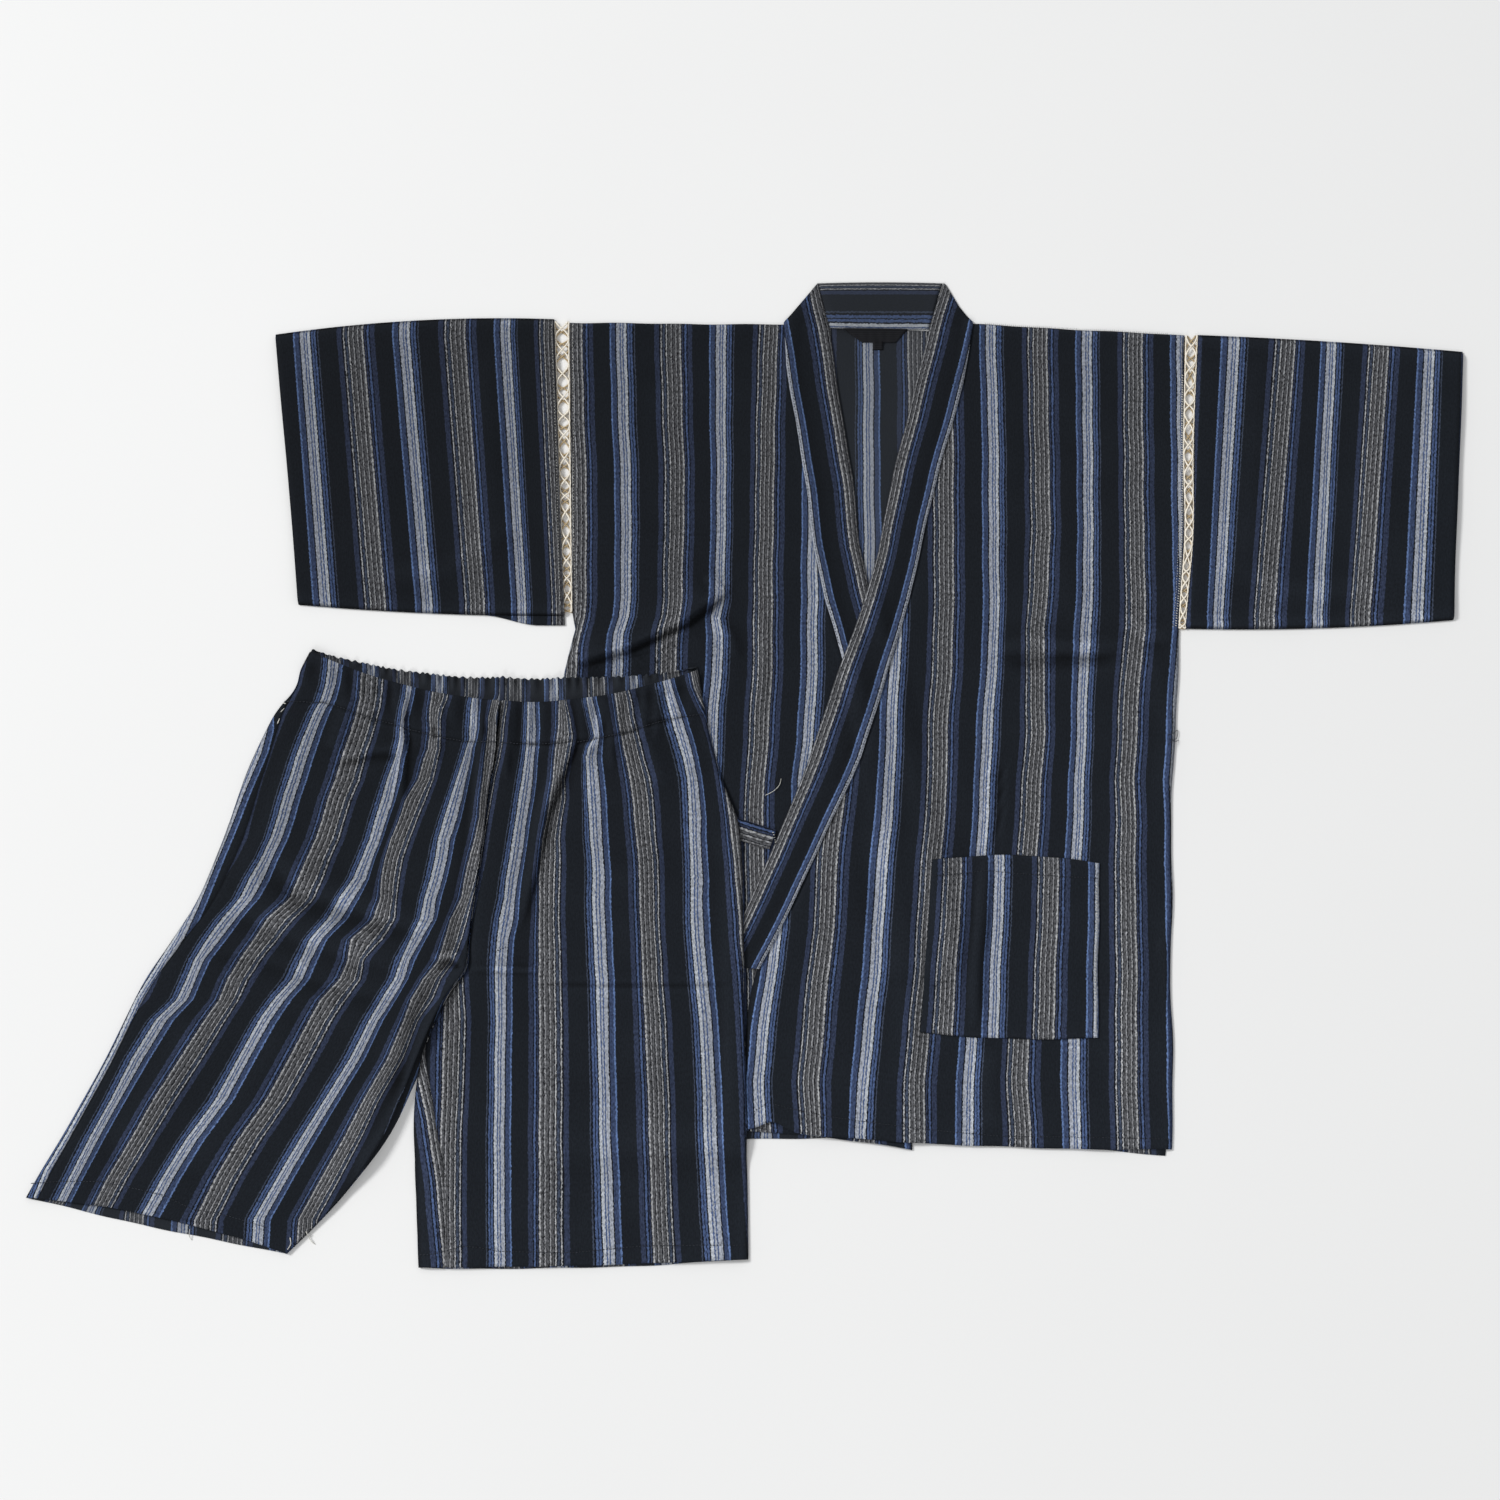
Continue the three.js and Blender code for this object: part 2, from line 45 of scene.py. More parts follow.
# Sizes of the cloth and its sewing, in millimetres
STRIPE_REPEAT = 101.0      # one full repeat of the yarn-dyed stripe
CLOTH = 0.9                # what one layer of crepe shows at its cut or folded edge
STACK_GAP = 0.35           # air between two layers that lie on each other
BAND_RISE = 1.5            # the folded collar band lies this much higher than one layer
SEAM_TUCK = 3.0            # a front's edge runs this far under the collar band
SLEEVE_FOLD = 2.2          # half the height of the fold along a sleeve's top
HOLLOW_REACH = 6.0         # how far around a place the folds take light from it
STITCH_LIFT = 0.45         # the sewing stands this much proud of the cloth
STITCH_SWAY = 0.2          # a stitch lies off its line by up to this much
STITCH_TURN = 0.12         # and is turned out of it by up to this much, in radians
LIE_CLEAR = 0.1            # a laid piece stays at least this far off what is below it
STRIP_STEP = 1.0           # the line where an inseam's raised strip meets its leg lies this much lower
FRILL_PITCH = 6.1          # one wave of the frill along the gathered edge
TAPE = 0.4                 # thickness of the label tape
TIE_WIDTH = 21
SCOOP_AT = 0.0             # where the over front's hem is drawn up beside the shorts, and how far around
SCOOP_REACH = 15.0
ARMHOLE_BOW_AT = 230       # the right armhole bends outwards most here, and this far around
ARMHOLE_BOW_REACH = 62

# Painted shade and painted light in the cloth's colour: how much darker each millimetre of hollow paints it,
# near and further around, within its limits, and the painted light across the set: what a place in the
# middle has, with the change for each millimetre across and up
NEAR_PAINTED_SHADE = 0.42
FAR_PAINTED_SHADE = 0.12
PAINTED_SHADE_LIMITS = (0.3, 1.25)
PAINTED_LIGHT_MIDDLE = 0.82
PAINTED_LIGHT_ACROSS = 0.00025
PAINTED_LIGHT_UP = -0.00040
PAINTED_LIGHT_LIMITS = (0.58, 1.1)

# The photograph's view: 12 degrees off straight down, seen from the hem side
VIEW_TILT = math.radians(12)
VIEW_DISTANCE = 2400
VIEW_WIDTH = 1500          # width of floor that the picture takes in at that distance
AIM_X = -21
AIM_Y = 4
SENSOR = 36


def table(names, *rows):
    """Rows of numbers under named columns."""
    return dict(zip(names.split(), np.array(rows, dtype=float).T))


def ease(share):
    held = np.clip(share, 0, 1)
    return held * held * (3 - 2 * held)


def smooth_column(values, place):
    """A column of a table, read between its rows on a smooth curve. `place` counts rows from 0."""
    last = len(values) - 1
    row = np.clip(np.floor(place).astype(int), 0, last - 1)
    part = place - row
    before = values[np.clip(row - 1, 0, last)]
    here = values[row]
    after = values[row + 1]
    beyond = values[np.clip(row + 2, 0, last)]
    slope = (after - before) / 2
    next_slope = (beyond - here) / 2
    bend = 3 * (after - here) - 2 * slope - next_slope
    twist = slope + next_slope - 2 * (after - here)
    return here + part * (slope + part * (bend + part * twist))


# The heap is a height map of what has been laid so far, in cells of two millimetres.
CELL = 2.0
HEAP_X = -780.0
HEAP_Y = -560.0
heap = np.zeros((560, 780))


def heap_cells(x, y):
    return (y - HEAP_Y) / CELL, (x - HEAP_X) / CELL


def between_points(grid, row, column):
    """A grid's value between its points, with rows and columns counted from 0."""
    r = np.minimum(row.astype(int), grid.shape[0] - 2)
    c = np.minimum(column.astype(int), grid.shape[1] - 2)
    down = row - r
    across = column - c
    top = grid[r, c] * (1 - across) + grid[r, c + 1] * across
    low = grid[r + 1, c] * (1 - across) + grid[r + 1, c + 1] * across
    return top * (1 - down) + low * down


def read_heap(field, x, y):
    row, column = heap_cells(x, y)
    return between_points(field, row.clip(0, field.shape[0] - 1.001), column.clip(0, field.shape[1] - 1.001))


def draped_over(reach):
    """The heap as cloth lies over it: edges are bridged and eased over `reach` millimetres."""
    cells = max(1, int(round(reach / CELL)))
    field = heap.copy()
    for axis in (0, 1):
        field = np.max([np.roll(field, step, axis) for step in range(-cells, cells + 1)], axis=0)
    for axis in (0, 1):
        field = np.mean([np.roll(field, step, axis) for step in range(-cells, cells + 1)], axis=0)
    return field


def add_to_heap(x, y, z):
    """Raises the heap to a laid piece's top, read finely between its grid points."""
    fine = 4
    rows = np.linspace(0, x.shape[0] - 1, (x.shape[0] - 1) * fine + 1)[:, None]
    columns = np.linspace(0, x.shape[1] - 1, (x.shape[1] - 1) * fine + 1)[None, :]
    row, column = heap_cells(between_points(x, rows, columns), between_points(y, rows, columns))
    spot = (np.rint(row).astype(int).clip(0, heap.shape[0] - 1),
            np.rint(column).astype(int).clip(0, heap.shape[1] - 1))
    np.maximum.at(heap, spot, between_points(z, rows, columns))


def ridges(folds, x, y):
    """Soft ridges, or troughs where the rise is negative, each along a line of points and fading at its
    ends. A fold is (rise, width on the left, width on the right, x, y, x, y, ...), left and right as seen
    by someone walking along the line."""
    height = np.zeros_like(x)
    for rise, left, right, *line in folds:
        points = np.array(line, dtype=float).reshape(-1, 2)
        steps = np.diff(points, axis=0)
        lengths = np.hypot(steps[:, 0], steps[:, 1])
        starts = np.concatenate([[0], np.cumsum(lengths)])
        nearest = np.full_like(x, 1e9)
        travelled = np.zeros_like(x)
        flank = np.full_like(x, right)
        for k, (dx, dy) in enumerate(steps):
            off_x = x - points[k, 0]
            off_y = y - points[k, 1]
            along = np.clip((off_x * dx + off_y * dy) / lengths[k] ** 2, 0, 1)
            away = np.hypot(off_x - dx * along, off_y - dy * along)
            closer = away < nearest
            nearest = np.where(closer, away, nearest)
            travelled = np.where(closer, starts[k] + along * lengths[k], travelled)
            flank = np.where(closer, np.where(dx * off_y - dy * off_x > 0, left, right), flank)
        share = travelled / starts[-1]
        # It fades over the quarter of its line next to each end, but not quite to nothing.
        fade = ease(np.minimum(share, 1 - share) * 4 + 0.15)
        height += rise * fade * np.exp(-(nearest / flank) ** 2)
    return height


def slow_waves(x, y, size, seed):
    """Gentle unevenness of cloth that has been worn and smoothed by hand, from -1 to 1."""
    rng = np.random.default_rng(seed)
    height = np.zeros_like(x)
    for _ in range(7):
        angle = rng.uniform(0, math.pi)
        length = size * rng.uniform(0.6, 1.6)
        phase = rng.uniform(0, 2 * math.pi)
        height += np.sin((x * math.cos(angle) + y * math.sin(angle)) * 2 * math.pi / length + phase)
    return height / 4          # seven waves seldom add up to more than four


def threads(lines, x, y, mirrored=False, first=0.0, step=(0.0, 0.5)):
    """Where a place lies on the stripe, in repeats. `lines` gives, for some heights y, the x of known
    threads from left to right. The known threads of one repeat are those in `step`, counted from the
    middle of the light stripe, and the first repeat is number `first`."""
    names = [name for name in lines if name != "y"]
    order = np.argsort(lines["y"])
    heights = lines["y"][order]
    at = np.array([np.interp(y, heights, lines[name][order]) for name in names])
    numbers = [first + k // len(step) + step[k % len(step)] for k in range(len(names))]
    found = np.zeros_like(x)
    for k in range(len(names) - 1):
        share = (x - at[k]) / (at[k + 1] - at[k])
        value = numbers[k] + (numbers[k + 1] - numbers[k]) * share
        inside = (share >= 0) & (share < 1)
        if k == 0:
            inside |= share < 0
        if k == len(names) - 2:
            inside |= share >= 1
        found = np.where(inside, value, found)
    return LIGHT_MIDDLE + (-found if mirrored else found)


# Chart of one stripe repeat, left to right on the right side of the cloth: each band's end as a share of
# 97 yarn groups, and its colour
CHART_LENGTH = 97.0
LIGHT_MIDDLE = 12.0 / CHART_LENGTH
# Both edges of the pale stripe and both outer white lines of the grey group, counted in repeats from the
# pale stripe's middle
EDGES = (-0.047, 0.056, 0.419, 0.619)
NAVY = "#1b1f25"
INK = "#15181e"
DUSK = "#30384d"
DEEP = "#384460"
BLUE = "#47587c"
BRIGHT = "#5a709a"
SLATE = "#3b4353"
SILVER = "#9a9fa9"
PALE = "#acb1b8"
STONE = "#4e4f52"
ASH = "#848588"
CHALK = "#97989a"
CHART = [
    (1.3, BRIGHT), (5.6, DEEP), (6.5, INK), (10.2, SILVER), (11.3, BLUE), (12.7, SILVER), (13.9, BLUE),
    (16.6, PALE), (17.8, INK), (19.4, BLUE), (20.4, INK), (22.2, BLUE), (23.6, INK), (24.8, SLATE),
    (43.1, NAVY), (47.7, DUSK), (49.0, INK), (50.3, CHALK), (51.1, INK), (53.4, SLATE), (54.1, INK),
    (55.3, CHALK), (56.0, INK), (58.6, STONE), (59.7, ASH), (60.4, INK), (63.0, STONE), (64.1, ASH),
    (64.8, INK), (67.3, STONE), (68.6, CHALK), (69.4, INK), (71.2, DUSK), (72.2, INK), (74.0, BLUE),
    (75.2, INK), (79.6, DUSK), (97.0, NAVY),
]
RAMP_STOPS = 30            # a colour ramp holds few stops, so the chart is read in parts
RAGGED_EDGE = 0.016        # the bands' edges stray by this share of a repeat in all

# How strongly each part of the repeat is flecked
FLECK_CHART = [
    (6.2, 0.5), (16.6, 0.44), (24.6, 0.5), (43.1, 0.2), (49.0, 0.4), (71.0, 0.75), (79.6, 0.45), (97.0, 0.2),
]


def linear(hex_colour, alpha=1.0):
    """An sRGB hex colour as the linear numbers that Blender keeps."""
    channels = [int(hex_colour[i:i + 2], 16) / 255 for i in (1, 3, 5)]
    return tuple(c / 12.92 if c <= 0.04045 else ((c + 0.055) / 1.055) ** 2.4 for c in channels) + (alpha,)


def add_node(tree, kind, inputs=None, **settings):
    """Adds a shader node with its settings. An input given another node's output is linked to it."""
    made = tree.nodes.new(kind)
    for name, value in settings.items():
        setattr(made, name, value)
    for name, value in (inputs or {}).items():
        if isinstance(value, bpy.types.NodeSocket):
            tree.links.new(value, made.inputs[name])
        else:
            made.inputs[name].default_value = value
    return made


def new_material(name):
    material = bpy.data.materials.new(name)
    material.use_nodes = True
    tree = material.node_tree
    tree.nodes.clear()
    return material, tree


def arithmetic(tree, operation, *values):
    return add_node(tree, "ShaderNodeMath", dict(enumerate(values)), operation=operation).outputs[0]


def spread(tree, value, from_low, from_high, to_low, to_high):
    """Stretches a value from one range to another."""
    return add_node(tree, "ShaderNodeMapRange", {
        "Value": value, "From Min": from_low, "From Max": from_high,
        "To Min": to_low, "To Max": to_high}).outputs[0]


def mixed(tree, share, first, second):
    return add_node(tree, "ShaderNodeMix", {"Factor": share, 6: first, 7: second},
                    data_type="RGBA").outputs[2]


def two_tone(tree, share, dark, pale, dark_up_to=0.0, pale_from=1.0):
    """A colour that turns from dark to pale as `share` rises."""
    made = add_node(tree, "ShaderNodeValToRGB", {0: share})
    for stop, place, colour in zip(made.color_ramp.elements, (dark_up_to, pale_from), (dark, pale)):
        stop.position = place
        stop.color = linear(colour)
    return made.outputs[0]


def object_noise(tree, scale, detail):
    place = add_node(tree, "ShaderNodeTexCoord")
    return add_node(tree, "ShaderNodeTexNoise", {
        "Vector": place.outputs["Object"], "Scale": scale, "Detail": detail}).outputs["Fac"]


def bumps(tree, height, strength, depth):
    """Unevenness `depth` millimetres deep, as the light catches it."""
    return add_node(tree, "ShaderNodeBump", {
        "Height": height, "Strength": strength, "Distance": depth * MM}).outputs[0]


def finish_material(tree, colour, roughness, gloss, normal=None):
    inputs = {"Base Color": colour, "Roughness": roughness, "Specular IOR Level": gloss}
    if normal is not None:
        inputs["Normal"] = normal
    shader = add_node(tree, "ShaderNodeBsdfPrincipled", inputs)
    add_node(tree, "ShaderNodeOutputMaterial", {"Surface": shader.outputs[0]})


def yarn_dyed_crepe(name, wrong_side=False):
    """Yarn-dyed cotton crepe, plain woven with a puckered face: the stripe's edges are a little ragged
    from yarn to yarn, pale yarns are speckled with dark weft, and the face is quite matt."""
    material, tree = new_material(name)
    cloth = add_node(tree, "ShaderNodeUVMap", uv_map="cloth")
    place = add_node(tree, "ShaderNodeSeparateXYZ", {0: cloth.outputs[0]})

    def noise(across, along, detail=1.0):
        """Noise with grains so many millimetres wide and long on the cloth."""
        scaled = add_node(tree, "ShaderNodeVectorMath", {
            0: cloth.outputs[0], 1: (STRIPE_REPEAT / across, STRIPE_REPEAT / along, 0)},
            operation="MULTIPLY")
        return add_node(tree, "ShaderNodeTexNoise", {
            "Vector": scaled.outputs[0], "Scale": 1.0, "Detail": detail, "Roughness": 0.6},
            noise_dimensions="2D").outputs["Fac"]

    def stripe_of(chart):
        """Reads a chart of bands across the repeat, with their edges ragged."""
        read = None
        start = 0.0
        for first in range(0, len(chart), RAMP_STOPS):
            ramp_node = add_node(tree, "ShaderNodeValToRGB", {0: part})
            ramp = ramp_node.color_ramp
            ramp.interpolation = "CONSTANT"
            ramp.elements.remove(ramp.elements[1])
            border = start / CHART_LENGTH
            for number, (end, colour) in enumerate(chart[first:first + RAMP_STOPS]):
                stop = ramp.elements.new(start / CHART_LENGTH) if number else ramp.elements[0]
                stop.color = (colour,) * 3 + (1,) if isinstance(colour, float) else linear(colour)
                start = end
            if read is None:
                read = ramp_node.outputs["Color"]
            else:
                beyond = arithmetic(tree, "GREATER_THAN", part, border)
                read = mixed(tree, beyond, read, ramp_node.outputs["Color"])
        return read

    ragged = arithmetic(tree, "SUBTRACT", noise(2.4, 2.4), 0.5)
    part = arithmetic(tree, "FRACT", arithmetic(
        tree, "MULTIPLY_ADD", ragged, RAGGED_EDGE, place.outputs["X"]))
    # Real yarns lie well under a millimetre apart. The grains are drawn coarser, so that they show.
    fleck = spread(tree, noise(1.6, 3.2, 2.0), 0.28, 0.72, -1.0, 1.0)
    strength = arithmetic(tree, "MULTIPLY", stripe_of(FLECK_CHART), 0.55 if wrong_side else 1.0)
    grain = arithmetic(tree, "MULTIPLY_ADD", fleck, strength, 1.0)
    # Broad, faint patches, as where the cloth has been handled
    patch = spread(tree, noise(34.0, 46.0, 3.0), 0.3, 0.7, 0.95, 1.05)
    light = arithmetic(tree, "MULTIPLY", grain, patch)
    # Painted shade and painted light: the 'shade' attribute darkens the colour in hollows and at the foot of
    # folds and lightens it towards the hem side and the right.
    shade = add_node(tree, "ShaderNodeAttribute", attribute_name="shade")
    shaded = arithmetic(tree, "MULTIPLY", light, shade.outputs["Fac"])
    colour = add_node(tree, "ShaderNodeVectorMath", {
        0: stripe_of(CHART), 1: shaded}, operation="MULTIPLY").outputs[0]
    if wrong_side:
        # On the wrong side the dark weft shows more and the colours are flatter.
        colour = mixed(tree, 0.14, colour, linear("#4c5056"))
    # Puckers of the crepe run with the warp, a few millimetres apart.
    weave = arithmetic(tree, "MULTIPLY_ADD", noise(2.6, 6.0, 3.0), 1.4, fleck)
    finish_material(tree, colour, 0.95, 0.12, bumps(tree, weave, 0.3, 0.35))
    return material


def cotton_lace_cord(name, dark, pale):
    """Mercerised cotton cord of the lace: cream, matt, with a fine twist along it."""
    material, tree = new_material(name)
    twist = object_noise(tree, 1 / (1.1 * MM), 2.0)
    finish_material(tree, two_tone(tree, twist, dark, pale, 0.35, 0.6), 0.85, 0.3,
                    bumps(tree, twist, 0.4, 0.3))
    return material


def spun_thread(name, dark, pale):
    """Spun sewing thread: matt, with a twist that makes it darker and paler along its length."""
    material, tree = new_material(name)
    twist = object_noise(tree, 1 / (1.4 * MM), 1.0)
    finish_material(tree, two_tone(tree, twist, dark, pale, 0.35, 0.65), 0.7, 0.3)
    return material


def woven_label_tape():
    """Black damask label tape: close satin weave with a faint rib and a soft gloss."""
    material, tree = new_material("black_woven_label_tape")
    place = add_node(tree, "ShaderNodeTexCoord")
    rib = add_node(tree, "ShaderNodeTexWave", {
        "Vector": place.outputs["Object"], "Scale": 1 / (1.2 * MM) / 6.3, "Distortion": 0.4},
        bands_direction="Y").outputs["Fac"]
    finish_material(tree, two_tone(tree, rib, "#0c0d10", "#16171b"), 0.7, 0.15,
                    bumps(tree, rib, 0.25, 0.2))
    return material


def studio_paper():
    """White background paper: even and matt, with a trace of unevenness."""
    material, tree = new_material("white_background_paper")
    cloud = object_noise(tree, 1.5, 2.0)
    finish_material(tree, two_tone(tree, cloud, "#ebebea", "#efefee"), 0.95, 0.1)
    return material


crepe = yarn_dyed_crepe("striped_cotton_crepe")
crepe_inside = yarn_dyed_crepe("striped_cotton_crepe_wrong_side", wrong_side=True)
lace_cotton = cotton_lace_cord("cream_cotton_lace_cord", "#ddd2bd", "#f7f1e5")
# A darker, tan copy of the cream lace cord: painted shade for the back layer, which lies in shadow behind the
# front one
lace_cord_painted_shade = cotton_lace_cord("cream_cotton_lace_cord_painted_shade", "#937d5c", "#c8b592")
dark_thread = spun_thread("dark_polyester_thread", "#14171d", "#2b2f38")
pale_thread = spun_thread("pale_polyester_thread", "#a9a9a4", "#dedcd2")
label_tape = woven_label_tape()

pieces = {}


def settle(obj, material):
    """Gives a finished piece its material and body, and keeps it in `pieces`."""
    obj.data.materials.clear()
    obj.data.materials.append(material)
    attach(obj, "root")
    pieces[obj.name] = obj
    return obj


def object_from(bm, name):
    mesh = bpy.data.meshes.new(name)
    bm.to_mesh(mesh)
    bm.free()
    obj = bpy.data.objects.new(name, mesh)
    bpy.context.scene.collection.objects.link(obj)
    return obj


def neighbours_mean(z, rows_out, columns_out):
    """The mean height of the places around each place of a grid."""
    mean = z
    for axis, out in ((0, rows_out), (1, columns_out)):
        padding = [(out, out) if axis == k else (0, 0) for k in (0, 1)]
        padded = np.pad(mean, padding, mode="edge")
        mean = np.mean([np.take(padded, np.arange(k, k + z.shape[axis]), axis) for k in range(2 * out + 1)],
                       axis=0)
    return mean


def cloth_shade(x, y, z):
    """How light the cloth looks, painted into its colour: painted shade in hollows and at the foot of folds,
    lighter on their crests, and painted light that makes it lighter towards the hem side and the right."""
    down = np.hypot(np.diff(x, axis=0), np.diff(y, axis=0)).mean()
    across = np.hypot(np.diff(x, axis=1), np.diff(y, axis=1)).mean()

    def depth(reach):
        """How far each place lies below the mean of what is within `reach` of it."""
        return neighbours_mean(z, max(1, round(reach / down)), max(1, round(reach / across))) - z

    # Painted shade darkens each place by how far it lies below what is around it; painted light brightens the
    # cloth towards the right and the hem side.
    hollow = 1 - NEAR_PAINTED_SHADE * depth(HOLLOW_REACH) - FAR_PAINTED_SHADE * depth(3 * HOLLOW_REACH)
    return hollow.clip(*PAINTED_SHADE_LIMITS) * (PAINTED_LIGHT_MIDDLE + PAINTED_LIGHT_ACROSS * x + PAINTED_LIGHT_UP * y).clip(*PAINTED_LIGHT_LIMITS)


def cloth_mesh(name, x, y, z, thread, length, wall=CLOTH, strip=None):
    """A sheet of cloth over a grid of points in millimetres, its top face up, with its stripe as UV.
    `strip` gives another stripe to the first columns of the grid."""
    rows, columns = x.shape
    # Painted shade and painted light, kept on the points for the material to darken and lighten the colour
    shade = cloth_shade(x, y, z)
    bm = bmesh.new()
    shade_layer = bm.verts.layers.float.new("shade")
    bmesh.ops.create_grid(bm, x_segments=columns - 1, y_segments=rows - 1, size=0.5)
    uv = bm.loops.layers.uv.new("cloth")
    where = {}
    for vert in bm.verts:
        i = int(round((0.5 - vert.co.y) * (rows - 1)))
        j = int(round((vert.co.x + 0.5) * (columns - 1)))
        where[vert.index] = (i, j)
        vert.co = (x[i, j] * MM, y[i, j] * MM, z[i, j] * MM)
        vert[shade_layer] = shade[i, j]
    for face in bm.faces:
        spots = [where[loop.vert.index] for loop in face.loops]
        in_strip = strip is not None and max(j for _, j in spots) <= strip["columns"]
        chart = strip["thread"] if in_strip else thread
        for loop, (i, j) in zip(face.loops, spots):
            loop[uv].uv = (chart[i, j], length[i, j] / STRIPE_REPEAT)
        face.smooth = True
    obj = object_from(bm, name)
    shell = obj.modifiers.new("cloth_thickness", "SOLIDIFY")
    shell.thickness = wall * MM
    shell.offset = -1
    return obj


def declare(nodes):
    """Hides the parts of model.glb that the sheet stands for."""
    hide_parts(*nodes)


def panel_grid(sections, spacing, strip_width=None, strip_columns=0, smooth=True, fine=1):
    """The points of a panel between the left and right ends of its sections. `u` runs across and `s`
    counts sections downwards. The first columns can hold a strip of its own width. A section's `dip`
    moves its middle up, and its `scoop` moves it up at one place alone."""
    count = len(sections["left_x"])
    long_way = np.hypot(np.diff(sections["left_x"]), np.diff(sections["left_y"])).sum()
    other_way = np.hypot(np.diff(sections["right_x"]), np.diff(sections["right_y"])).sum()
    rows = max(2, int(max(long_way, other_way) / spacing))
    wide = np.hypot(sections["right_x"] - sections["left_x"], sections["right_y"] - sections["left_y"]).max()
    columns = max(2, int(wide / spacing)) * fine
    s = np.linspace(0, count - 1, rows + 1)

    def read(name):
        if name not in sections:
            return np.zeros_like(s)
        if smooth:
            return smooth_column(sections[name], s)
        return np.interp(s, np.arange(count), sections[name])

    u = np.linspace(0, 1, columns + 1)[None, :] * np.ones((rows + 1, 1))
    if strip_columns:
        width = np.hypot(read("right_x") - read("left_x"), read("right_y") - read("left_y"))
        share = (np.interp(s, np.arange(len(strip_width)), strip_width) / width)[:, None]
        inner = np.linspace(0, 1, columns + 1)[None, :]
        outer = np.linspace(0, 1, strip_columns + 1)[None, :-1]
        u = np.hstack([outer * share, share + inner * (1 - share)])
    x = read("left_x")[:, None] * (1 - u) + read("right_x")[:, None] * u
    y = read("left_y")[:, None] * (1 - u) + read("right_y")[:, None] * u
    y = y + read("dip")[:, None] * 4 * u * (1 - u)
    y = y + read("scoop")[:, None] * np.exp(-((x - SCOOP_AT) / SCOOP_REACH) ** 2)
    s = s[:, None] * np.ones_like(u)
    return x, y, u, s


def edge_fall(x, y, u, s, sides, reach=7.0):
    """How far a place is from the edges named in `sides`, as a share of `reach`: 0 at the edge."""
    last = s.max()
    nearest = np.full_like(x, 1e6)
    across = np.hypot(x[:, -1] - x[:, 0], y[:, -1] - y[:, 0])[:, None]
    down = np.hypot(x[-1] - x[0], y[-1] - y[0])[None, :]
    if "left" in sides:
        nearest = np.minimum(nearest, u * across)
    if "right" in sides:
        nearest = np.minimum(nearest, (1 - u) * across)
    if "top" in sides:
        nearest = np.minimum(nearest, s / last * down)
    if "bottom" in sides:
        nearest = np.minimum(nearest, (1 - s / last) * down)
    return np.sqrt(np.clip(1 - (1 - np.clip(nearest / reach, 0, 1)) ** 2, 0, 1))


def wavered(x, y, amount, seed):
    """Cut and sewn edges are never quite straight: shifts every point a little, by its place."""
    return (x + amount * np.sin(y / 17 + seed) * np.sin(y / 41 + 2 * seed),
            y + amount * np.sin(x / 15 + 3 * seed) * np.sin(x / 37 + seed))


def lay(name, nodes, sections, chart, rests_on, spacing=6.0, mirrored=False, first=0.0, puff=1.2,
        folds=(), fall=("left", "right", "top", "bottom"), reach=8.0, waves=0.5, seed=1, material=None,
        rise=0.0, wall=CLOTH, extra=None, strip=None, fullness=1.0, chart_across=None, step=(0.0, 0.5),
        smooth=True, waver=0.6, fine=1, frill=0.0):
    """Lays one piece of cloth on the heap and makes its mesh. Its stripe is read from the known threads
    of `chart`, or runs evenly between the two marks in `chart_across`."""
    x, y, u, s = panel_grid(sections, spacing, strip and strip["width"], strip["columns"] if strip else 0,
                            smooth, fine)
    under = read_heap(draped_over(reach), x, y)
    rim = edge_fall(x, y, u, s, fall)
    lift = STACK_GAP + wall + rise + (puff + waves * slow_waves(x, y, 150, seed)).clip(0) * rim
    z = under + lift + (ridges(folds, x, y) * rim)
    if extra is not None:
        z = z + extra(x, y, u, s)
    z = np.maximum(z, read_heap(heap, x, y) + wall + LIE_CLEAR)
    if chart_across is not None:
        starts, ends = (np.atleast_1d(side) for side in chart_across)
        start = np.interp(s, np.arange(len(starts)), starts)
        end = np.interp(s, np.arange(len(ends)), ends)
        thread = (start + (end - start) * u) / CHART_LENGTH
    else:
        thread = threads(chart, x, y, mirrored, first, step)
    length = np.vstack([np.zeros((1, x.shape[1])),
                        np.cumsum(np.hypot(np.diff(x, axis=0), np.diff(y, axis=0)), axis=0)])
    band = None
    if strip:
        band = {"columns": strip["columns"],
                "thread": threads(strip["chart"], x, y, True, strip["first"])}
        z[:, strip["columns"]] -= STRIP_STEP
    x, y = wavered(x, y, waver, seed)
    y = y + frill * np.sin(x * 2 * math.pi / FRILL_PITCH + 2 * np.sin(x / 9)) * (1 - ease(s / 0.25))
    obj = cloth_mesh(name, x, y, z, thread, length, wall, band)
    settle(obj, material or crepe)
    declare(nodes)
    add_to_heap(x, y, z)


# What shows of a back is its wrong side, lying flat
WRONG_SIDE_UP = dict(puff=0.0, waves=0.0, material=crepe_inside, rise=-STACK_GAP)
COLLAR_BRANCH = dict(spacing=5, fall=("left", "right"), puff=0.5, waves=0.1, reach=5, smooth=False)
COLLAR_WIDENING = (62, 82, 102, 107)   # the chart at its outer edge, where it bends round the neck

lay("jacket_back", ["back"], table(
    "left_x left_y right_x right_y dip",
    (-208, 457, 430, 443, 0), (-205, 335, 425, 335, 0), (-203, 213, 420, 213, 0), (-201, 146, 412, 128, 0),
    (-197, 128, 411, 112, 0), (-209, 79, 408, 70, 0), (-211, -6, 402, -6, 0), (-210, -100, 397, -60, 0),
    (-208, -200, 390, -215, 0), (-206, -300, 390, -300, 0), (-205, -391, 380, -396.5, 14)),
    table("y grey_l light_m grey_r", (460, 51, 101, 151), (-400, 46, 98, 149)),
    [], spacing=10, mirrored=True, first=0.5, smooth=False, **WRONG_SIDE_UP)

